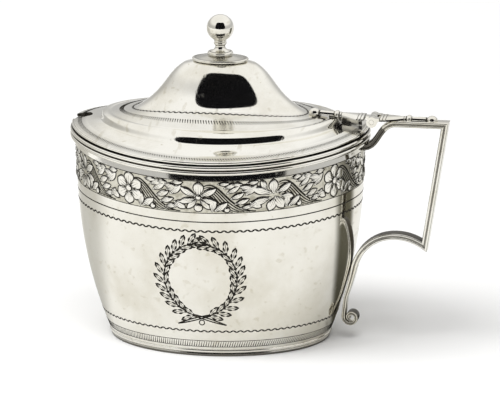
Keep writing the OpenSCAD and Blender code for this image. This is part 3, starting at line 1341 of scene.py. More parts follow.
    def top_rows(self) -> list[Row]:
        """Rows over the cove, the ledge and the dome.

        Returns:
            The rows, from the cove's foot in to the bore at the crown.
        """
        rows = [self.cove(i / self.cove_bends) for i in range(self.cove_bends + 1)]
        rows += [self.ledge(i / self.ledge_bends) for i in range(1, self.ledge_bends + 1)]
        rows += [self.bell(i / self.dome_bends) for i in range(1, self.dome_last + 1)]
        crown = Row(self.saucer_r * self.crown_share, self.crown_ratio, self.crown_z - self.crown_drop)
        return rows + [crown, Row(self.bore_r, 1.0, self.crown_z)]

    def shell(self) -> Form:
        """Shape the lid's sheet, top and underside.

        Returns:
            The sheet's form.
        """
        rim, top = self.rim_rows(), self.top_rows()
        inset = self.sheet * self.sheet_in
        under = [Row(max(self.bore_r, row.a - inset), row.k, row.z - self.sheet, 0.0, row.dip)
                 for row in reversed(rim[-1:] + top)]
        bearing = Row(self.edge - self.bearing_in, self.wall.ratio, self.under_z, 0.0, self.wall.side_dip)
        return oval_loft(rim + top + under + [bearing], True)

    def collar(self) -> Form:
        """Shape the collar inside the mouth.

        Returns:
            The collar's form.
        """
        _, high = span("lid_bezel")
        ratio, dip, low_z = self.wall.ratio, self.wall.side_dip, self.under_z - self.collar_h
        top_ratio = ratio - self.collar_less
        outline = [(0.0, ratio, low_z), (0.0, ratio, self.under_z), (self.collar_lean, top_ratio, high.z),
                   (self.collar_top_in, top_ratio, high.z), (self.collar_t, ratio, low_z)]
        return oval_loft([Row(high.x - inset, k, z, 0.0, dip) for inset, k, z in outline], True)

    def cut_notch(self, bench: Bench, made: bpy.types.Object, clear: float = 0.0) -> None:
        """Cut the spoon notch through a piece.

        Args:
            bench: The bench that freezes the cut.
            made: The piece that is cut.
            clear: How far the cut stands back from the notch's own edge.
        """
        form = Form()
        r = self.notch_w / 2 + clear
        inner = -self.edge + self.notch_depth + clear - r
        end = [(x, -y) for x, y in arc((inner, 0), (r, r), -90, 90, self.notch_bends)]
        outline = [(inner - self.notch_out, r)] + end + [(inner - self.notch_out, -r)]
        heights = (self.under_z - self.notch_below, self.under_z + self.notch_above)
        form.tube([[form.add((x, y, z)) for x, y in outline] for z in heights])
        cutter = bench.mesh("notch_cutter", form, bench.finishes.cut)
        cut = made.modifiers.new("notch", "BOOLEAN")
        cut.operation, cut.object, cut.solver = "DIFFERENCE", cutter, "EXACT"
        cut.material_mode = "TRANSFER"
        bench.freeze(made)
        bench.clear_slivers(made)
        bpy.data.objects.remove(cutter)
        made.data.set_sharp_from_angle(angle=math.radians(self.crisp))

    def bracket(self, hinge: Hinge) -> Form:
        """Web between the lid's top and the underside of its leaf.

        Args:
            hinge: The hinge whose leaf it carries.

        Returns:
            The web, as wide as the leaf is above it.
        """
        form = Form()
        rings = []
        lean = math.tan(math.radians(hinge.lean))
        leaf_x = hinge.axis_x - hinge.leaf_end
        rows = [self.cove(1 - i / self.web_cove_bends) for i in range(self.web_cove_bends + 1)]
        rows += [self.flange_row(1 - i / self.web_flange_bends) for i in range(self.web_flange_bends)]
        for row in rows:
            low, high = row.z - self.web_sink, hinge.leaf_floor + (leaf_x - row.a) * lean + self.web_lap
            along = min(max(0.0, leaf_x - row.a), hinge.bead_at - self.web_short)
            half = hinge.outline(along)[0] - self.web_set
            side = []
            for j in range(self.web_bends + 1):
                t = j / self.web_bends
                side.append((half * (1 - self.web_waist * math.sin(math.pi * t)), between(low, high, t)))
            ring = side + [(-y, z) for y, z in reversed(side)]
            rings.append([form.add((row.a, y, z), self.web_shade) for y, z in ring])
        form.tube(rings)
        return form

    def build(self, bench: Bench, hinge: Hinge) -> None:
        """Make the lid's pieces.

        Args:
            bench: Where pieces are made.
            hinge: The hinge that the lid turns on.
        """
        silver = bench.finishes.silver
        shell = bench.mesh("cover", self.shell(), silver, self.crisp)
        self.cut_notch(bench, shell)
        bench.seat(shell, Carrier.LID, "lid_shell")
        collar = bench.mesh("cover_collar", self.collar(), silver)
        self.cut_notch(bench, collar, self.collar_clear)
        bench.seat(collar, Carrier.LID, "lid_bezel")
        bench.seat(bench.mesh("leaf_bracket", self.bracket(hinge), silver), Carrier.LID, "lid_bracket")


@dataclass
class Finial:
    """Saucer, turned stem and ball on top of the dome. Beads are distance below the stem's top and radius."""

    crown_z: float
    stem_z: float
    ball_z: float
    ball_r: float
    saucer_r: float
    saucer_ratio: float
    saucer_in: float = 0.2
    lip_in: float = 0.15
    lip_drop: float = 0.3
    lip_r: Point2 = (0.35, 0.42)
    seat_share: float = 0.6
    dish_in: float = 0.75
    dish_up: float = 0.08
    dish_ratio: float = 0.95
    dish_power: float = 1.7
    dish_bends: int = 8
    # The dish and the quirk at its edge get painted shade
    dish_shade: float = 0.35
    quirk_shade: float = 0.7
    collar_r: float = 3.8
    collar_foot_in: float = 0.35
    collar_bead: Point2 = (0.5, 0.58)
    collar_bead_z: float = 0.65
    collar_top_in: float = 0.75
    collar_top_z: float = 1.22
    cove_in: float = 0.9
    cove_z: float = 2.9
    cove_h: float = 1.5
    neck_r: float = 1.5
    stem_h: float = 4.6
    beads: tuple[Point2, ...] = ((1.0, 0.42), (0.32, 0.34))
    # Painted shade in the quirks of the stem's beads and at the collar's foot
    stem_shade: float = 0.9
    foot_shade: float = 0.8
    bends: int = 14
    bead_bends: int = 10
    bore_r: float = 1.3
    stud_r: float = 1.15
    ball_seat: float = 0.1
    ball_bends: int = 56
    segments: int = 96
    ball_segments: int = 112

    @classmethod
    def from_frame(cls, lid: Lid) -> "Finial":
        """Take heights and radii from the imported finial.

        Args:
            lid: The lid that carries it.

        Returns:
            The finial.
        """
        _, ball_high = span("finial_ball")
        _, saucer_high = span("dome_saucer")
        return cls(crown_z=lid.crown_z, stem_z=saucer_high.z, ball_z=ball_high.z - ball_high.x,
                   ball_r=ball_high.x, saucer_r=saucer_high.x - cls.saucer_in, saucer_ratio=lid.crown_ratio)

    def saucer(self) -> Form:
        """Shape the low disc with a rolled lip.

        Returns:
            The saucer's form.
        """
        k, seat_z = self.saucer_ratio, self.crown_z + HAIR
        dish_a, dish_z = self.saucer_r - self.dish_in, self.crown_z + self.dish_up
        centre = (self.saucer_r - self.lip_in, self.crown_z - self.lip_drop)
        lip = arc(centre, self.lip_r, -100, 70, self.bead_bends)
        rows = [Row(self.bore_r, 1, seat_z), Row(self.saucer_r * self.seat_share, k, seat_z)]
        rows += [Row(x, k, z) for x, z in lip]
        rows += [Row(dish_a, k, dish_z, self.quirk_shade)]
        for i in range(1, self.dish_bends + 1):
            t = i / self.dish_bends
            rows.append(Row(between(dish_a, self.collar_r, t), between(k, self.dish_ratio, t),
                            between(dish_z, self.stem_z, t**self.dish_power), self.dish_shade))
        rows += [Row(self.bore_r, 1, self.stem_z)]
        return oval_loft(rows, True, self.segments)

    def stem(self) -> Form:
        """Shape the collar, cove, spool and beads, on a stud that goes through the crown.

        Returns:
            The stem's form.
        """
        low, _ = span("finial_stem")
        z, neck, top_z = self.stem_z, self.neck_r, self.stem_z + self.stem_h
        collar_at = (self.collar_r - self.collar_bead[0], z + self.collar_bead_z)
        collar = arc(collar_at, self.collar_bead, -80, 85, self.bends)
        cove_x = self.collar_r - self.cove_in
        cove = arc((cove_x, z + self.cove_z), (cove_x - neck, self.cove_h), 268, 182, self.bends)
        outline = [(0, low.z, 0.0), (self.stud_r, low.z, 0.0), (self.stud_r, z, 0.0)]
        outline += [(self.collar_r - self.collar_foot_in, z + HAIR, self.foot_shade)]
        outline += [(x, y, 0.0) for x, y in collar]
        outline += [(self.collar_r - self.collar_top_in, z + self.collar_top_z, self.stem_shade)]
        outline += [(x, y, 0.0) for x, y in cove]
        for drop, radius in self.beads:
            bead = arc((neck, z + (self.stem_h - drop)), (radius, radius), -85, 85, self.bead_bends)
            ends = (bead[0], bead[-1])
            outline += [(*point, self.stem_shade if point in ends else 0.0) for point in bead]
        outline += [(neck, top_z, 0.0), (0, top_z, 0.0)]
        return oval_loft([Row(x, 1, y, painted_shade) for x, y, painted_shade in outline], False, self.segments)

    def ball(self) -> Form:
        """Shape the ball, cut flat where it sits on the stem.

        Returns:
            The ball's form.
        """
        foot = math.degrees(math.acos((self.neck_r + self.ball_seat) / self.ball_r))
        skin = arc((0, self.ball_z), (self.ball_r, self.ball_r), -foot, 90, self.ball_bends)
        rows = [Row(0, 1, self.ball_z - self.ball_r * math.sin(math.radians(foot)))]
        rows += [Row(max(0.0, x), 1, z) for x, z in skin]
        return oval_loft(rows, False, self.ball_segments)

    def build(self, bench: Bench) -> None:
        """Make the finial's pieces.

        Args:
            bench: Where pieces are made.
        """
        for name, form, node in (("saucer", self.saucer(), "dome_saucer"),
                                 ("stem", self.stem(), "finial_stem"), ("ball", self.ball(), "finial_ball")):
            bench.seat(bench.mesh(name, form, bench.finishes.silver), Carrier.LID, node)


# Engraving


class Spot(NamedTuple):
    """A flat point in a wrap tree: the tree's nodes and inputs, angle round the pot, distances up and out."""

    graph: Graph
    given: dict[str, Sock]
    turn: Sock
    up: Sock
    out: Sock


class Wrap:
    """A Geometry Nodes tree that repeats a flat cell round the pot and lays it on a surface.

    A mirrored one lays cells so that they turn face down, and turns them face up again.
    """

    name = "wrap"
    sizes: tuple[str, ...] = ()
    mirrored = False

    def __init__(self) -> None:
        """Build the tree."""
        self.tree = bpy.data.node_groups.new(self.name, "GeometryNodeTree")
        face = self.tree.interface
        kinds = {"Cell": "NodeSocketGeometry", "Repeats": "NodeSocketInt", "Finish": "NodeSocketMaterial"}
        for name in ("Cell", "Repeats", "Finish", "Radius", "Start", *self.sizes):
            face.new_socket(name, in_out="INPUT", socket_type=kinds.get(name, "NodeSocketFloat"))
        face.new_socket("Laid", in_out="OUTPUT", socket_type="NodeSocketGeometry")
        graph = Graph(self.tree)
        source = self.tree.nodes.new("NodeGroupInput")
        given = {socket.name: Sock(graph, socket) for socket in source.outputs if socket.name}
        pitch = given["Radius"] * FULL_TURN / given["Repeats"]
        row = {"Count": given["Repeats"], "Offset": graph.vector(pitch)}
        line = graph.node("GeometryNodeMeshLine", None, row)
        copies = graph.node("GeometryNodeInstanceOnPoints", None, {"Points": line, "Instance": given["Cell"]})
        real = graph.node("GeometryNodeRealizeInstances", None, {"Geometry": copies})
        x, y, z = graph.axes(graph.node("GeometryNodeInputPosition"))
        laid = self.lay(Spot(graph, given, x / given["Radius"] + given["Start"], y, z))
        moved = graph.node("GeometryNodeSetPosition", None, {"Geometry": real, "Position": laid})
        if self.mirrored:
            moved = graph.node("GeometryNodeFlipFaces", None, {"Mesh": moved})
        dress = {"Geometry": moved, "Material": given["Finish"]}
        graph.node("NodeGroupOutput", None, {"Laid": graph.node("GeometryNodeSetMaterial", None, dress)})

    def lay(self, spot: Spot) -> Sock:
        """Place of a flat point on the surface, as a vector."""
        raise NotImplementedError

    def put(self, made: bpy.types.Object, values: dict[str, Any]) -> None:
        """Add the tree to an object.

        Args:
            made: The object that holds the flat cell.
            values: The tree's inputs by name.
        """
        modifier = made.modifiers.new(self.name, "NODES")
        modifier.node_group = self.tree
        for item in self.tree.interface.items_tree:
            if item.in_out == "INPUT" and item.name in values:
                modifier[item.identifier] = values[item.name]


class WallWrap(Wrap):
    """Lays cells on the swelling wall: up is the height."""

    name = "wrap_on_wall"
    sizes = ("Half Length", "Foot Half Length", "Mouth", "Power", "Ratio", "Dip", "Dip Start")

    def lay(self, spot: Spot) -> Sock:
        """Place of a flat point on the wall.

        Args:
            spot: The flat point.

        Returns:
            The place as a vector.
        """
        graph, given, turn, up, out = spot
        swell = (1 - up / given["Mouth"]) ** given["Power"]
        a = given["Half Length"] - (given["Half Length"] - given["Foot Half Length"]) * swell
        across = turn.sin()
        share = (up - given["Dip Start"]) / (given["Mouth"] - given["Dip Start"])
        z = up - given["Dip"] * share.at_least(0.0).at_most(1.0) * across * across
        return graph.vector((a + out) * turn.cos(), (a * given["Ratio"] + out) * across, z)


class CoverWrap(Wrap):
    """Lays cells on a narrow ring of the lid: up is the distance outwards from the ring."""

    name = "wrap_on_cover"
    sizes = ("Half Length", "Ratio", "Height", "Slope", "Ratio Slope", "Dip", "Dip Slope")
    mirrored = True

    def lay(self, spot: Spot) -> Sock:
        """Place of a flat point on the ring.

        Args:
            spot: The flat point.

        Returns:
            The place as a vector.
        """
        graph, given, turn, up, out = spot
        a = given["Half Length"] + up
        k = given["Ratio"] + given["Ratio Slope"] * up
        across = turn.sin()
        dip = given["Dip"] + given["Dip Slope"] * up
        z = given["Height"] + given["Slope"] * up + out - dip * across * across
        return graph.vector(a * turn.cos(), a * k * across, z)


class Drawing(Form):
    """A flat drawing of one cell: along, up, and off the surface, in millimetres."""

    sheet = True
    thin = 0.01
    swell: tuple[Point2, ...] = ((1.0, 0.0), (0.8, 0.62), (0.45, 0.93))

    def stroke(self, line: Sequence[Point2], width: float | Callable[[float], float], rise: float = 0.05,
               base: float = 0.01) -> None:
        """Draw a fine ridge along a line.

        Args:
            line: Points of the line.
            width: Its width, or a rule for it along the line.
            rise: Height of the ridge above the surface.
            base: Height of its two edges.
        """
        rings = []
        for i, (x, y) in enumerate(line):
            before, after = Vector(line[max(i - 1, 0)]), Vector(line[min(i + 1, len(line) - 1)])
            ahead = (after - before).normalized()
            half = (width(i / (len(line) - 1)) if callable(width) else width) / 2
            side = Vector((-ahead.y, ahead.x)) * max(half, self.thin)
            rings.append([self.add((x + side.x, y + side.y, base)), self.add((x, y, rise)),
                          self.add((x - side.x, y - side.y, base))])
        self.skin(rings, False, False)

    def pad(self, outline: Sequence[Point2], rise: float, base: float = 0.0) -> None:
        """Draw a low cushion inside an outline.

        Args:
            outline: Points round the cushion.
            rise: Height of its middle.
            base: Height of its edge.
        """
        middle = Vector((sum(p[0] for p in outline), sum(p[1] for p in outline))) / len(outline)
        rings = [[self.add((*middle.lerp(Vector(p), share), between(base, rise, up))) for p in outline]
                 for share, up in self.swell]
        self.skin(rings, False)
        top = self.add((*middle, rise))
        last = rings[-1]
        self.faces += [(last[i], last[(i + 1) % len(last)], top) for i in range(len(last))]


def blade(root: Point2, heading: float, length: float, width: float, full: float = 0.8, steps: int = 9,
          point: float = 0.8) -> list[Point2]:
    """Outline of a leaf or petal.

    Args:
        root: Where it starts.
        heading: Its direction in degrees.
        length: Its length.
        width: Its greatest width.
        full: Where it is widest: below 1 nearer the tip.
        steps: Points on each side.
        point: How pointed its ends are: above 1 they draw out.

    Returns:
        The outline, from the root round the tip and back.
    """
    turn = math.radians(heading)
    ahead, side = Vector((math.cos(turn), math.sin(turn))), Vector((-math.sin(turn), math.cos(turn)))
    right, left = [], []
    for i in range(steps + 1):
        t = i / steps
        half = width / 2 * math.sin(math.pi * t ** (1 / full)) ** point if 0 < t < 1 else 0.0
        at = Vector(root) + ahead * length * t
        right.append(tuple(at - side * half))
        left.append(tuple(at + side * half))
    return right + left[-2:0:-1]


class Leaf(NamedTuple):
    """A leaf or petal of a motif: its root from the motif's middle, heading in degrees, length and width."""

    along: float
    up: float
    heading: float
    length: float
    width: float


@dataclass
class FloralBand:
    """One cell of the frieze: three motifs, with a flowing lined ribbon and leaves after each.

    Spikes are heading, length and width. Veins are their place across a petal and their reach along it.
    The ribbon's points are distance along, distance above the band's edge, and how far each lower line
    draws back. Heights are those of a shape's middle and of its edge.
    """

    SPIKES: ClassVar[tuple[Point3, ...]] = (
        (28, 5.4, 1.9), (152, 5.6, 1.9), (-18, 5.2, 1.7), (198, 5.4, 1.7), (90, 4.3, 2.8), (-48, 4.4, 1.5),
        (228, 4.4, 1.5),
    )
    SPRAY: ClassVar[tuple[Leaf, ...]] = (
        Leaf(0.0, 0.2, 92, 4.5, 2.6), Leaf(-0.6, 0.4, 160, 6.4, 2.3), Leaf(-0.8, -0.8, 194, 6.0, 2.1),
        Leaf(0.4, -0.6, -55, 4.8, 2.6), Leaf(0.2, -1.0, -112, 4.2, 2.6), Leaf(0.8, 0.4, 26, 5.2, 2.0),
        Leaf(-2.2, 1.6, 118, 3.6, 1.5), Leaf(2.0, -0.4, -14, 4.4, 1.7),
    )
    TRAIL: ClassVar[tuple[Leaf, ...]] = (
        Leaf(4.0, -4.6, 82, 4.0, 1.8), Leaf(4.8, -4.4, 36, 4.6, 1.9), Leaf(11.6, 3.6, -14, 4.8, 1.8),
        Leaf(13.8, 0.4, 44, 4.6, 1.9), Leaf(15.0, -1.6, -30, 4.0, 1.8), Leaf(15.0, -3.8, 52, 3.2, 1.4),
        Leaf(12.6, 1.8, 8, 4.2, 1.5), Leaf(14.2, 4.3, 4, 3.4, 1.3), Leaf(5.6, 4.3, 2, 3.4, 1.2),
        Leaf(7.4, 2.9, 22, 4.0, 1.5), Leaf(8.3, 1.2, 32, 4.4, 1.6), Leaf(9.3, -0.6, 24, 4.4, 1.6),
        Leaf(10.6, -2.2, 18, 4.4, 1.5), Leaf(12.2, -3.6, 12, 4.0, 1.3), Leaf(9.6, 4.2, -4, 3.2, 1.2),
    )
    VEINS: ClassVar[tuple[Point2, ...]] = ((-0.24, 0.55), (0.0, 0.75), (0.24, 0.55))
    RIBBON_TOP: ClassVar[tuple[Point3, ...]] = ((1.6, -1.5, 0.0), (6.4, 1.3, 0.5))
    RIBBON_FOOT: ClassVar[tuple[Point3, ...]] = ((8.6, 0.5, 1.0), (17.0, 0.3, 2.4))

    low: float
    high: float
    length: float
    outline: float = 0.7
    vein_w: float = 0.26
    vein_taper: float = 0.7
    vein_start: float = 0.12
    petals: int = 6
    petal_size: Point2 = (4.0, 3.2)
    petal_full: float = 0.62
    petal_in: float = 0.8
    flower_up: float = 0.2
    flower_eye: float = 0.9
    spike_in: float = 0.5
    spike_eye: float = 0.65
    bud_drop: float = -3.3
    bud_r: float = 1.1
    trail_full: float = 0.85
    trail_bud: Point2 = (8.4, -3.9)
    trail_bud_r: float = 0.7
    ribbon_gap: float = 0.72
    ribbon_lines: int = 6
    ribbon_bends: int = 30
    ribbon_bold: float = 0.62
    ribbon_fine: float = 0.42
    ribbon_h: Point2 = (0.05, 0.02)
    ribbon_ends: float = 0.6
    outline_h: Point2 = (0.06, 0.03)
    petal_h: Point2 = (0.2, 0.07)
    vein_h: Point2 = (0.25, 0.15)
    ring_h: Point2 = (0.26, 0.1)
    eye_h: Point2 = (0.4, 0.24)
    ground_h: float = 0.02
    ground_cells: tuple[int, int] = (36, 6)
    ground: Drawing = field(default_factory=Drawing)
    cuts: Drawing = field(default_factory=Drawing)
    relief: Drawing = field(default_factory=Drawing)

    @property
    def middle(self) -> float:
        """Height of the band's middle."""
        return (self.low + self.high) / 2

    def petal(self, root: Point2, heading: float, length: float, width: float, full: float = 0.8) -> None:
        """Draw a bright petal or leaf with its cut outline and veins.

        Args:
            root: Where it starts, from the band's middle.
            heading: Its direction in degrees.
            length: Its length.
            width: Its greatest width.
            full: Where it is widest: below 1 nearer the tip.
        """
        at = (root[0], root[1] + self.middle)
        root_cut, more = ray(at, heading, -self.outline / 3), self.outline
        self.cuts.pad(blade(root_cut, heading, length + more, width + more, full), *self.outline_h)
        self.relief.pad(blade(at, heading, length, width, full), *self.petal_h)
        for off, reach in self.VEINS:
            start = ray(at, heading + 90, off * width)
            vein = [ray(start, heading, length * t) for t in (self.vein_start, reach / 2, reach)]
            self.cuts.stroke(vein, lambda t: self.vein_w * (1 - self.vein_taper * t), *self.vein_h)

    def eye(self, centre: Point2, radius: float) -> None:
        """Draw a ringed eye or a round bud.

        Args:
            centre: Its centre, from the band's middle.
            radius: Its radius.
        """
        at = (centre[0], centre[1] + self.middle)
        for drawing, reach, heights in ((self.cuts, radius + self.outline / 2, self.ring_h),
                                        (self.relief, radius, self.eye_h)):
            drawing.pad(arc(at, (reach, reach), 0, 345, 23), *heights)

    def open_flower(self, x: float) -> None:
        """Draw a wide open flower.

        Args:
            x: Where it stands.
        """
        centre = (x, self.flower_up)
        turn = 360 / self.petals
        for i in range(self.petals):
            heading = turn * (i + 0.5)
            self.petal(ray(centre, heading, self.petal_in), heading, *self.petal_size, self.petal_full)
        self.eye(centre, self.flower_eye)

    def spiked_flower(self, x: float) -> None:
        """Draw a flower of narrow leaves with a bud below.

        Args:
            x: Where it stands.
        """
        for heading, length, width in self.SPIKES:
            self.petal(ray((x, 0.0), heading, self.spike_in), heading, length, width)
        self.eye((x, 0.0), self.spike_eye)
        self.eye((x, self.bud_drop), self.bud_r)

    def spray(self, x: float) -> None:
        """Draw a spray of broad leaves round an upright bud."""
        for leaf in self.SPRAY:
            self.petal((x + leaf.along, leaf.up), leaf.heading, leaf.length, leaf.width)

    def flow(self, line: Sequence[Point2], width: float) -> None:
        """Cut one line of the ribbon, broadest half way.

        Args:
            line: Points along it.
            width: Its width half way.
        """
        self.cuts.stroke(
            line, lambda t: width * between(self.ribbon_ends, 1.0, math.sin(math.pi * t)), *self.ribbon_h
        )

    def ribbon(self, x: float) -> None:
        """Draw the flowing ribbon and the leaves that follow a motif.

        Args:
            x: Where the motif stands.
        """
        for k in range(self.ribbon_lines):
            drop = self.ribbon_gap * k
            top = [(x + along - back * drop, self.high + up - drop) for along, up, back in self.RIBBON_TOP]
            foot = [(x + along - back * drop, self.low + up) for along, up, back in self.RIBBON_FOOT]
            bold = self.ribbon_bold if k in (0, self.ribbon_lines - 1) else self.ribbon_fine
            self.flow(bezier(top + foot, self.ribbon_bends), bold)
        for leaf in self.TRAIL:
            self.petal((x + leaf.along, leaf.up), leaf.heading, leaf.length, leaf.width, self.trail_full)
        self.eye((x + self.trail_bud[0], self.trail_bud[1]), self.trail_bud_r)

    def draw(self) -> None:
        """Draw the ground, the ribbons and the motifs."""
        across, up = self.ground_cells
        places = [self.length * i / across for i in range(across + 1)]
        heights = [between(self.low, self.high, j / up) for j in range(up + 1)]
        rows = [[self.ground.add((x, height, self.ground_h)) for x in places] for height in heights]
        self.ground.skin(rows, False, False)
        motifs = (self.open_flower, self.spiked_flower, self.spray)
        for i, motif in enumerate(motifs):
            x = self.length * (i + 0.5) / len(motifs)
            self.ribbon(x)
            motif(x)


@dataclass
class Wreath:
    """Two laurel branches that cross below and meet above, with a ball under the crossing.

    Leaf pairs are spread in degrees and length. End leaves are the stem's point, spread and length. Foot cuts
    are drop and width, and the foot's flow is distance along, distance up, and the share of the drop.
    """

    z: float = 25.5
    half: Point2 = (10.9, 12.2)
    stem_from: float = 4.0
    stem_sweep: float = 164.0
    stem_bends: int = 60
    stem_w: float = 0.44
    stem_breaks: float = 9.0
    leaves: range = range(3, 59, 5)
    leaf_pairs: tuple[Point2, Point2] = ((-34.0, 5.0), (27.0, 4.4))
    leaf_shrink: float = 0.06
    leaf_sway: float = 7.0
    sway_step: float = 2.3
    leaf_w: float = 1.3
    leaf_full: float = 0.9
    leaf_point: float = 1.15
    leaf_bends: int = 12
    leaf_cut: float = 0.72
    leaf_breaks: float = 2.5
    leaf_break: float = 0.12
    leaf_hair: float = 0.02
    vein: Point2 = (0.25, 0.75)
    vein_w: float = 0.2
    vein_h: float = 0.03
    end_leaves: tuple[tuple[int, float, float], ...] = ((-1, 14.0, 4.0), (-2, -18.0, 4.2))
    end_leaf_w: float = 1.2
    foot_cuts: tuple[Point2, Point2] = ((0.0, 0.46), (0.95, 0.42))
    foot_flow: tuple[Point3, ...] = ((2.6, 0.5, 0.5), (-1.6, -0.3, 1.0), (-4.4, -1.4, 1.0), (-8.0, -3.0, 0.0))
    foot_bends: int = 8
    ball_drop: float = 2.2
    ball_r: float = 0.85
    ball_cut: float = 0.36
    cuts: Drawing = field(default_factory=Drawing)
    hatching: Drawing = field(default_factory=Drawing)

    @property
    def foot_z(self) -> float:
        """Height of the wreath's lowest point."""
        return self.z - self.half[1]

    def leaf(self, root: Point2, heading: float, length: float, width: float) -> None:
        """Draw one laurel leaf: two sides in broken cuts and a hatched middle.

        Args:
            root: Where it starts.
            heading: Its direction in degrees.
            length: Its length.
            width: Its greatest width.
        """
        def broken(t: float) -> float:
            """Width of the cut along a side."""
            wave = abs(math.cos(self.leaf_breaks * math.pi * t))
            return self.leaf_cut * max(self.leaf_hair, wave - self.leaf_break)

        tip = self.leaf_bends
        ring = blade(root, heading, length, width, self.leaf_full, tip, self.leaf_point)
        for side in (ring[:tip + 1], [ring[0]] + ring[:tip - 1:-1]):
            self.cuts.stroke(side, broken)
        self.hatching.stroke([ray(root, heading, length * t) for t in self.vein], self.vein_w, self.vein_h)

    def branch(self, side: int) -> None:
        """Draw one laurel branch.

        Args:
            side: The side that it grows up on: 1 for the right, -1 for the left.
        """
        last = self.stem_bends
        sweeps = [self.stem_from + self.stem_sweep * i / last for i in range(last + 1)]
        turns = [math.radians(-90 + side * sweep) for sweep in sweeps]
        stem = [(self.half[0] * math.cos(turn), self.z + self.half[1] * math.sin(turn)) for turn in turns]
        self.cuts.stroke(stem, lambda t: self.stem_w * abs(math.cos(self.stem_breaks * math.pi * t)) ** 0.5)
        heading = 0.0
        for i in self.leaves:
            ahead = Vector(stem[i + 1]) - Vector(stem[i - 1])
            heading = math.degrees(math.atan2(ahead.y, ahead.x))
            sway = self.leaf_sway * math.sin(self.sway_step * i)
            for spread, length in self.leaf_pairs:
                reach = length * (1 - self.leaf_shrink * i / last)
                self.leaf(stem[i], heading + spread * side + sway, reach, self.leaf_w)
        for at, spread, length in self.end_leaves:
            self.leaf(stem[at], heading + spread * side, length, self.end_leaf_w)
        for drop, width in self.foot_cuts:
            foot = [(side * along, self.foot_z + up - drop * share) for along, up, share in self.foot_flow]
            self.cuts.stroke(bezier(foot, self.foot_bends), width)

    def draw(self) -> None:
        """Draw both branches and the ball."""
        for side in (-1, 1):
            self.branch(side)
        ball = arc((0.0, self.foot_z - self.ball_drop), (self.ball_r, self.ball_r), 0, 360, 24)
        self.cuts.stroke(ball, self.ball_cut)


class Border(NamedTuple):
    """A border of one repeated cut: its name, cells in the round, height, swing or reach up, and width."""

    name: str
    cells: int
    height: float
    reach: float
    width: float


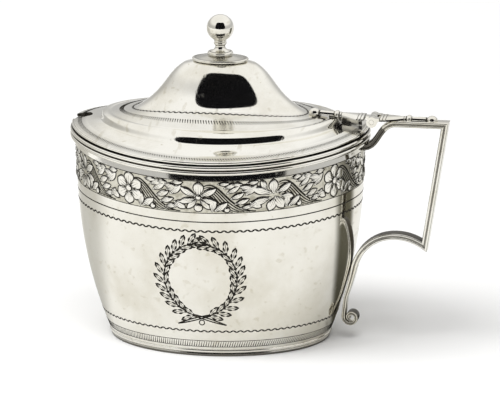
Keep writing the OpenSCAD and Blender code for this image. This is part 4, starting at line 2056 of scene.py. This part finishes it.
@dataclass
class Engraving:
    """The graver's work: frieze, lines, wreath and hatched borders. Plain lines are height and width."""

    bench: Bench
    wall: Wall
    lid: Lid
    wall_tree: WallWrap = field(default_factory=WallWrap)
    cover_tree: CoverWrap = field(default_factory=CoverWrap)
    crisp: float = 50.0
    plain_lines: tuple[Point2, ...] = ((44.8, 0.36), (47.75, 0.26), (57.9, 0.26), (5.0, 0.2), (3.05, 0.2))
    line_cells: int = 48
    line_bends: int = 4
    upper_line: Border = Border("wriggled_line", 116, 41.8, 0.26, 0.5)
    lower_line: Border = Border("foot_wriggled_line", 104, 8.2, 0.22, 0.44)
    dome_line: Border = Border("dome_wriggled_line", 84, 0.7, 0.22, 0.42)
    wave_bends: int = 12
    wave_w: Point2 = (0.75, 0.35)
    foot_ticks: Border = Border("foot_hatching", 300, 3.2, 1.6, 0.3)
    flange_ticks: Border = Border("flange_hatching", 340, 0.1, 1.2, 0.28)
    ledge_ticks: Border = Border("ledge_hatching", 230, 3.4, 1.3, 0.26)
    tick_slant: float = 0.5
    tick_w: Point2 = (1.2, -0.7)
    frieze_low: float = 47.8
    frieze_high: float = 57.8
    frieze_cells: int = 4
    frieze_start: float = -135.0

    def lay(self, tree: Wrap, carrier: Carrier, name: str, drawing: Drawing, values: dict[str, Any]) -> None:
        """Lay a drawing on the pot or the lid as one piece.

        Args:
            tree: The tree that lays it.
            carrier: The body that it moves with.
            name: The piece's name.
            drawing: One flat cell.
            values: The tree's inputs by name.
        """
        made = self.bench.mesh(name, drawing, values["Finish"], self.crisp)
        tree.put(made, values)
        self.bench.freeze(made)
        self.bench.seat(made, carrier)

    def on_wall(self, name: str, drawing: Drawing, finish: bpy.types.Material, repeats: int,
                start: float = -90.0, at: float | None = None) -> None:
        """Lay a drawing on the wall.

        Args:
            name: The piece's name.
            drawing: One flat cell.
            finish: Its material.
            repeats: Cells round the pot.
            start: Angle of the first cell in degrees.
            at: Half length that its distances are true for, which is the mouth's unless given.
        """
        wall = self.wall
        self.lay(self.wall_tree, Carrier.POT, name, drawing, {
            "Repeats": repeats, "Finish": finish, "Radius": (at or wall.half_len) * MM,
            "Start": math.radians(start), "Half Length": wall.half_len * MM,
            "Foot Half Length": wall.foot_half_len * MM, "Mouth": wall.mouth_z * MM,
            "Power": wall.belly_power, "Ratio": wall.ratio,
            "Dip": wall.side_dip * MM, "Dip Start": wall.dip_start * MM,
        })

    def on_cover(self, border: Border, drawing: Drawing, low: Row, high: Row) -> None:
        """Lay a border on a ring of the lid between two of its rows.

        Args:
            border: The border.
            drawing: One flat cell of it, with up measured outwards from the inner row.
            low: The inner row.
            high: The outer row.
        """
        run = high.a - low.a
        self.lay(self.cover_tree, Carrier.LID, border.name, drawing, {
            "Repeats": border.cells, "Finish": self.bench.finishes.cut, "Radius": low.a * MM, "Start": 0.0,
            "Half Length": low.a * MM, "Ratio": low.k, "Ratio Slope": (high.k - low.k) / run / MM,
            "Height": low.z * MM, "Slope": (high.z - low.z) / run,
            "Dip": low.dip * MM, "Dip Slope": (high.dip - low.dip) / run,
        })

    def wave(self, border: Border, half_len: float) -> Drawing:
        """One wave of a wriggled line.

        Args:
            border: The line.
            half_len: Half length of the oval that it runs round.

        Returns:
            The drawing of one wave.
        """
        drawing = Drawing()
        length = FULL_TURN * half_len / border.cells
        shares = [i / self.wave_bends for i in range(self.wave_bends + 1)]
        line = [(length * share, border.height + border.reach * math.sin(FULL_TURN * share))
                for share in shares]
        least, more = self.wave_w
        drawing.stroke(line, lambda t: border.width * (least + more * abs(math.cos(FULL_TURN * t))))
        return drawing

    def tick(self, border: Border) -> Drawing:
        """One slanting tick of a hatched border.

        Args:
            border: The border.

        Returns:
            The drawing of one tick, which tapers upwards.
        """
        drawing = Drawing()
        line = [(self.tick_slant * share, border.height + border.reach * share) for share in (0.0, 0.5, 1.0)]
        drawing.stroke(line, lambda t: border.width * (self.tick_w[0] + self.tick_w[1] * t))
        return drawing

    def lines(self) -> None:
        """Cut the plain and wriggled lines round the wall, and the hatched border above the foot."""
        cut = self.bench.finishes.cut
        plain = Drawing()
        stretch = FULL_TURN * self.wall.half_len / self.line_cells
        for height, width in self.plain_lines:
            plain.stroke([(stretch * i / self.line_bends, height) for i in range(self.line_bends + 1)], width)
        self.on_wall("plain_lines", plain, cut, self.line_cells)
        for border in (self.upper_line, self.lower_line):
            self.on_wall(border.name, self.wave(border, self.wall.half_len), cut, border.cells)
        self.on_wall(self.foot_ticks.name, self.tick(self.foot_ticks), cut, self.foot_ticks.cells)

    def frieze(self) -> None:
        """Cut the flowers, leaves and flowing ribbons on a matted ground."""
        length = FULL_TURN * self.wall.half_len / self.frieze_cells
        band = FloralBand(self.frieze_low, self.frieze_high, length)
        band.draw()
        finishes = self.bench.finishes
        for name, drawing, finish in (("frieze_ground", band.ground, finishes.matted),
                                      ("frieze_cuts", band.cuts, finishes.cut),
                                      ("frieze_relief", band.relief, finishes.bright)):
            self.on_wall(name, drawing, finish, self.frieze_cells, self.frieze_start)

    def wreath(self) -> None:
        """Cut the wreath on the front of the wall."""
        wreath = Wreath()
        wreath.draw()
        at = self.wall.half_length(wreath.z)
        self.on_wall("wreath_cuts", wreath.cuts, self.bench.finishes.cut, 1, at=at)
        self.on_wall("wreath_hatching", wreath.hatching, self.bench.finishes.hatch, 1, at=at)

    def borders(self) -> None:
        """Cut the hatched borders of the flange and the ledge, and the wriggled line at the dome's foot."""
        rim, bend = self.lid.flange_row(0.0), self.lid.flange_row(1.0)
        inner, outer = self.lid.ledge(1.0), self.lid.ledge(0.0)
        self.on_cover(self.flange_ticks, self.tick(self.flange_ticks), bend, rim)
        self.on_cover(self.ledge_ticks, self.tick(self.ledge_ticks), inner, outer)
        self.on_cover(self.dome_line, self.wave(self.dome_line, inner.a), inner, outer)

    def build(self) -> None:
        """Engrave the wall and the lid."""
        self.lines()
        self.frieze()
        self.wreath()
        self.borders()


# The studio


class Lamp(NamedTuple):
    """A soft lamp: angles from the front and up in degrees, distance and side in millimetres, watts."""

    name: str
    turn: float
    rise: float
    away: float
    size: float
    power: float


@dataclass
class Studio:
    """Camera, floor, lamps, and the dark opening and the cloth that only the silver mirrors."""

    aim: Point3 = (8.5, 2.1, 38.5)
    turn: float = 9.9
    rise: float = 14.1
    distance: float = 1776.0
    lens: float = 432.0
    sensor: float = 36.0
    sight: float = 20.0
    floor_reach: float = 6000.0
    floor_pale: Colour = (0.93, 0.93, 0.93)
    floor_dull: Colour = (0.9, 0.9, 0.895)
    floor_grain: float = 30.0
    floor_detail: float = 3.0
    floor_share: float = 0.3
    card_reach: float = 1500.0
    card_half_turn: float = 44.0
    card_low: float = 0.0
    card_high: float = 56.0
    card_corner: float = 5.0
    card_least: float = 0.01
    card_lift: float = 40.2
    card_bends: int = 24
    card_dark: Colour = (0.006, 0.006, 0.007)
    cloth_reach: float = 900.0
    cloth_lift: float = 0.2
    cloth_turn: float = 24.0
    cloth_front: Colour = (0.78, 0.775, 0.755)
    cloth_left: Colour = (0.5, 0.495, 0.47)
    cloth_right: Colour = (0.1, 0.095, 0.07)
    left_edge: Point2 = (0.8, 1.0)
    right_edge: Point2 = (0.95, 0.995)
    surround: Colour = (1.0, 0.995, 0.98)
    wall_light: float = 0.55
    wall_edge: Point2 = (0.18, 0.55)
    unseen_light: float = 0.55
    lamps: tuple[Lamp, ...] = (
        Lamp("key", -62.0, 50.0, 2600.0, 1500.0, 41.0),
        Lamp("fill", 14.0, 62.0, 3000.0, 1600.0, 31.0),
    )

    def direction(self, turn: float, rise: float) -> Vector:
        """Direction from the pot to a place round it, by angle from the front and angle up, in degrees."""
        a, e = math.radians(turn), math.radians(rise)
        return Vector((math.sin(a) * math.cos(e), -math.cos(a) * math.cos(e), math.sin(e)))

    def stand(self, name: str, data: bpy.types.ID, out: Vector, place: Vector) -> bpy.types.Object:
        """Stand a camera or a lamp so that it looks back at the pot.

        Args:
            name: Its name.
            data: The camera or lamp.
            out: Direction from the pot to it.
            place: Its place in millimetres.

        Returns:
            The object.
        """
        made = bpy.data.objects.new(name, data)
        made.location = place * MM
        made.rotation_euler = out.to_track_quat("Z", "Y").to_euler()
        bpy.context.scene.collection.objects.link(made)
        return made

    def camera(self) -> None:
        """Stand the camera where the photograph was taken from."""
        data = bpy.data.cameras.new("view")
        data.lens, data.sensor_width = self.lens, self.sensor
        data.clip_end = self.sight
        out = self.direction(self.turn, self.rise)
        bpy.context.scene.camera = self.stand("view", data, out, Vector(self.aim) + out * self.distance)

    def surface(self, name: str, form: Form, material: bpy.types.Material, mirrored_only: bool) -> None:
        """Set up a surface of the studio.

        Args:
            name: Its name.
            form: Its points and faces in millimetres.
            material: Its material.
            mirrored_only: Whether it is seen only as a mirror image in the silver.
        """
        data = bpy.data.meshes.new(name)
        data.from_pydata([tuple(c * MM for c in point) for point in form.points], [], form.faces)
        data.materials.append(material)
        made = bpy.data.objects.new(name, data)
        bpy.context.scene.collection.objects.link(made)
        if mirrored_only:
            for kind in ("camera", "diffuse", "shadow", "transmission"):
                setattr(made, "visible_" + kind, False)

    def square(self, reach: float, z: float) -> Form:
        """A level square round the pot."""
        corners = [(-reach, -reach, z), (reach, -reach, z), (reach, reach, z), (-reach, reach, z)]
        return Form(corners, [(0, 1, 2, 3)])

    def matte(self, material: bpy.types.Material, graph: Graph, colour: Sock) -> bpy.types.Material:
        """Give a material a plain matte surface.

        Args:
            material: The material.
            graph: Its nodes.
            colour: Its colour.

        Returns:
            The material.
        """
        surface = graph.node("ShaderNodeBsdfDiffuse", None, {"Color": colour})
        graph.feed(material.node_tree.nodes["Material Output"], {"Surface": surface})
        return material

    def floor(self) -> None:
        """Lay a pale floor that keeps the pot's shadow."""
        made, graph, _ = new_material("pale_floor")
        grain = graph.noise(graph.place(), self.floor_grain, self.floor_detail)
        colour = graph.blend(grain * self.floor_share, self.floor_pale, self.floor_dull)
        self.surface("floor", self.square(self.floor_reach, 0.0), self.matte(made, graph, colour), False)

    def dark_card(self) -> None:
        """Hang the dark opening that the silver mirrors round the camera, a rounded oblong."""
        form = Form()
        rings = []
        middle, half_rise = (self.card_low + self.card_high) / 2, (self.card_high - self.card_low) / 2
        lift = Vector((0, 0, self.card_lift))
        for j in range(self.card_bends + 1):
            up = math.sin(math.pi * (j / self.card_bends - 0.5))
            share = max(self.card_least, 1 - abs(up) ** self.card_corner) ** (1 / self.card_corner)
            rise = middle + half_rise * up
            ring = []
            for i in range(self.card_bends + 1):
                turn = self.turn + self.card_half_turn * share * (2 * i / self.card_bends - 1)
                ring.append(form.add(self.direction(turn, rise) * self.card_reach + lift))
            rings.append(ring)
        form.skin(rings, False, False)
        made, graph, shader = new_material("black_cloth")
        graph.feed(shader, {"Base Color": (*self.card_dark, 1), "Specular IOR Level": 0.0, "Roughness": 1.0})
        self.surface("dark_card", form, made, True)

    def cloth(self) -> None:
        """Lay a cloth that only the silver mirrors, paler in front than to the sides."""
        made, graph, _ = new_material("mirrored_cloth")
        x, y, _ = graph.axes(graph.place())
        away = (x * x + y * y) ** 0.5
        turn = math.radians(self.cloth_turn)
        left = (y * math.sin(turn) - x * math.cos(turn)) / away
        right = (y * math.sin(turn) + x * math.cos(turn)) / away
        colour = graph.blend(left.step(*self.left_edge), self.cloth_front, self.cloth_left)
        colour = graph.blend(right.step(*self.right_edge), colour, self.cloth_right)
        form = self.square(self.cloth_reach, self.cloth_lift)
        self.surface("cloth", form, self.matte(made, graph, colour), True)

    def hang(self, lamp: Lamp) -> None:
        """Hang one soft lamp, which the silver doesn't mirror.

        Args:
            lamp: The lamp.
        """
        data = bpy.data.lights.new(lamp.name, "AREA")
        data.size, data.energy = lamp.size * MM, lamp.power
        out = self.direction(lamp.turn, lamp.rise)
        self.stand(lamp.name, data, out, out * lamp.away).visible_glossy = False

    def sky(self) -> None:
        """Set the white surround, which is darker low down and lights the pot less than it shows."""
        world = bpy.data.worlds.new("white_surround")
        world.use_nodes = True
        bpy.context.scene.world = world
        graph = Graph(world.node_tree)
        camera = graph.node("ShaderNodeLightPath", out="Is Camera Ray")
        seen = camera.at_least(camera.beside("Is Glossy Ray")).at_least(camera.beside("Is Transmission Ray"))
        _, _, above = graph.axes(graph.node("ShaderNodeTexCoord", out="Generated"))
        walls = self.wall_light + (1 - self.wall_light) * above.step(*self.wall_edge)
        strength = (self.unseen_light + seen * (1 - self.unseen_light)) * walls
        graph.feed(world.node_tree.nodes["Background"], {"Color": (*self.surround, 1), "Strength": strength})

    def build(self) -> None:
        """Set up the studio."""
        bpy.context.scene.view_settings.view_transform = "Standard"
        self.camera()
        self.floor()
        self.dark_card()
        self.cloth()
        self.sky()
        for lamp in self.lamps:
            self.hang(lamp)


def finish_nodes(finishes: Finishes) -> None:
    """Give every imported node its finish.

    Args:
        finishes: The pot's finishes.
    """
    for name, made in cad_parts.items():
        made.data.materials.clear()
        made.data.materials.append(finishes.glass if name == "glass_liner" else finishes.silver)


def main() -> None:
    """Build the pot in order and keep its size."""
    logging.basicConfig(level=logging.INFO, format="%(name)s: %(message)s")
    finishes = Finishes.make()
    finish_nodes(finishes)
    bench = Bench(finishes)
    wall = Wall.from_frame()
    rim = Rim(wall)
    hinge = Hinge.from_frame()
    lid = Lid.from_frame(wall)
    wall.build(bench)
    FootWire(wall).build(bench)
    rim.build(bench)
    Liner(wall).build(bench)
    Handle.from_frame(wall, rim).build(bench)
    hinge.build(bench)
    lid.build(bench, hinge)
    Finial.from_frame(lid).build(bench)
    Engraving(bench, wall, lid).build()
    Studio().build()
    LOG.info("%d pieces", bench.count)


if __name__ == "__main__":
    main()
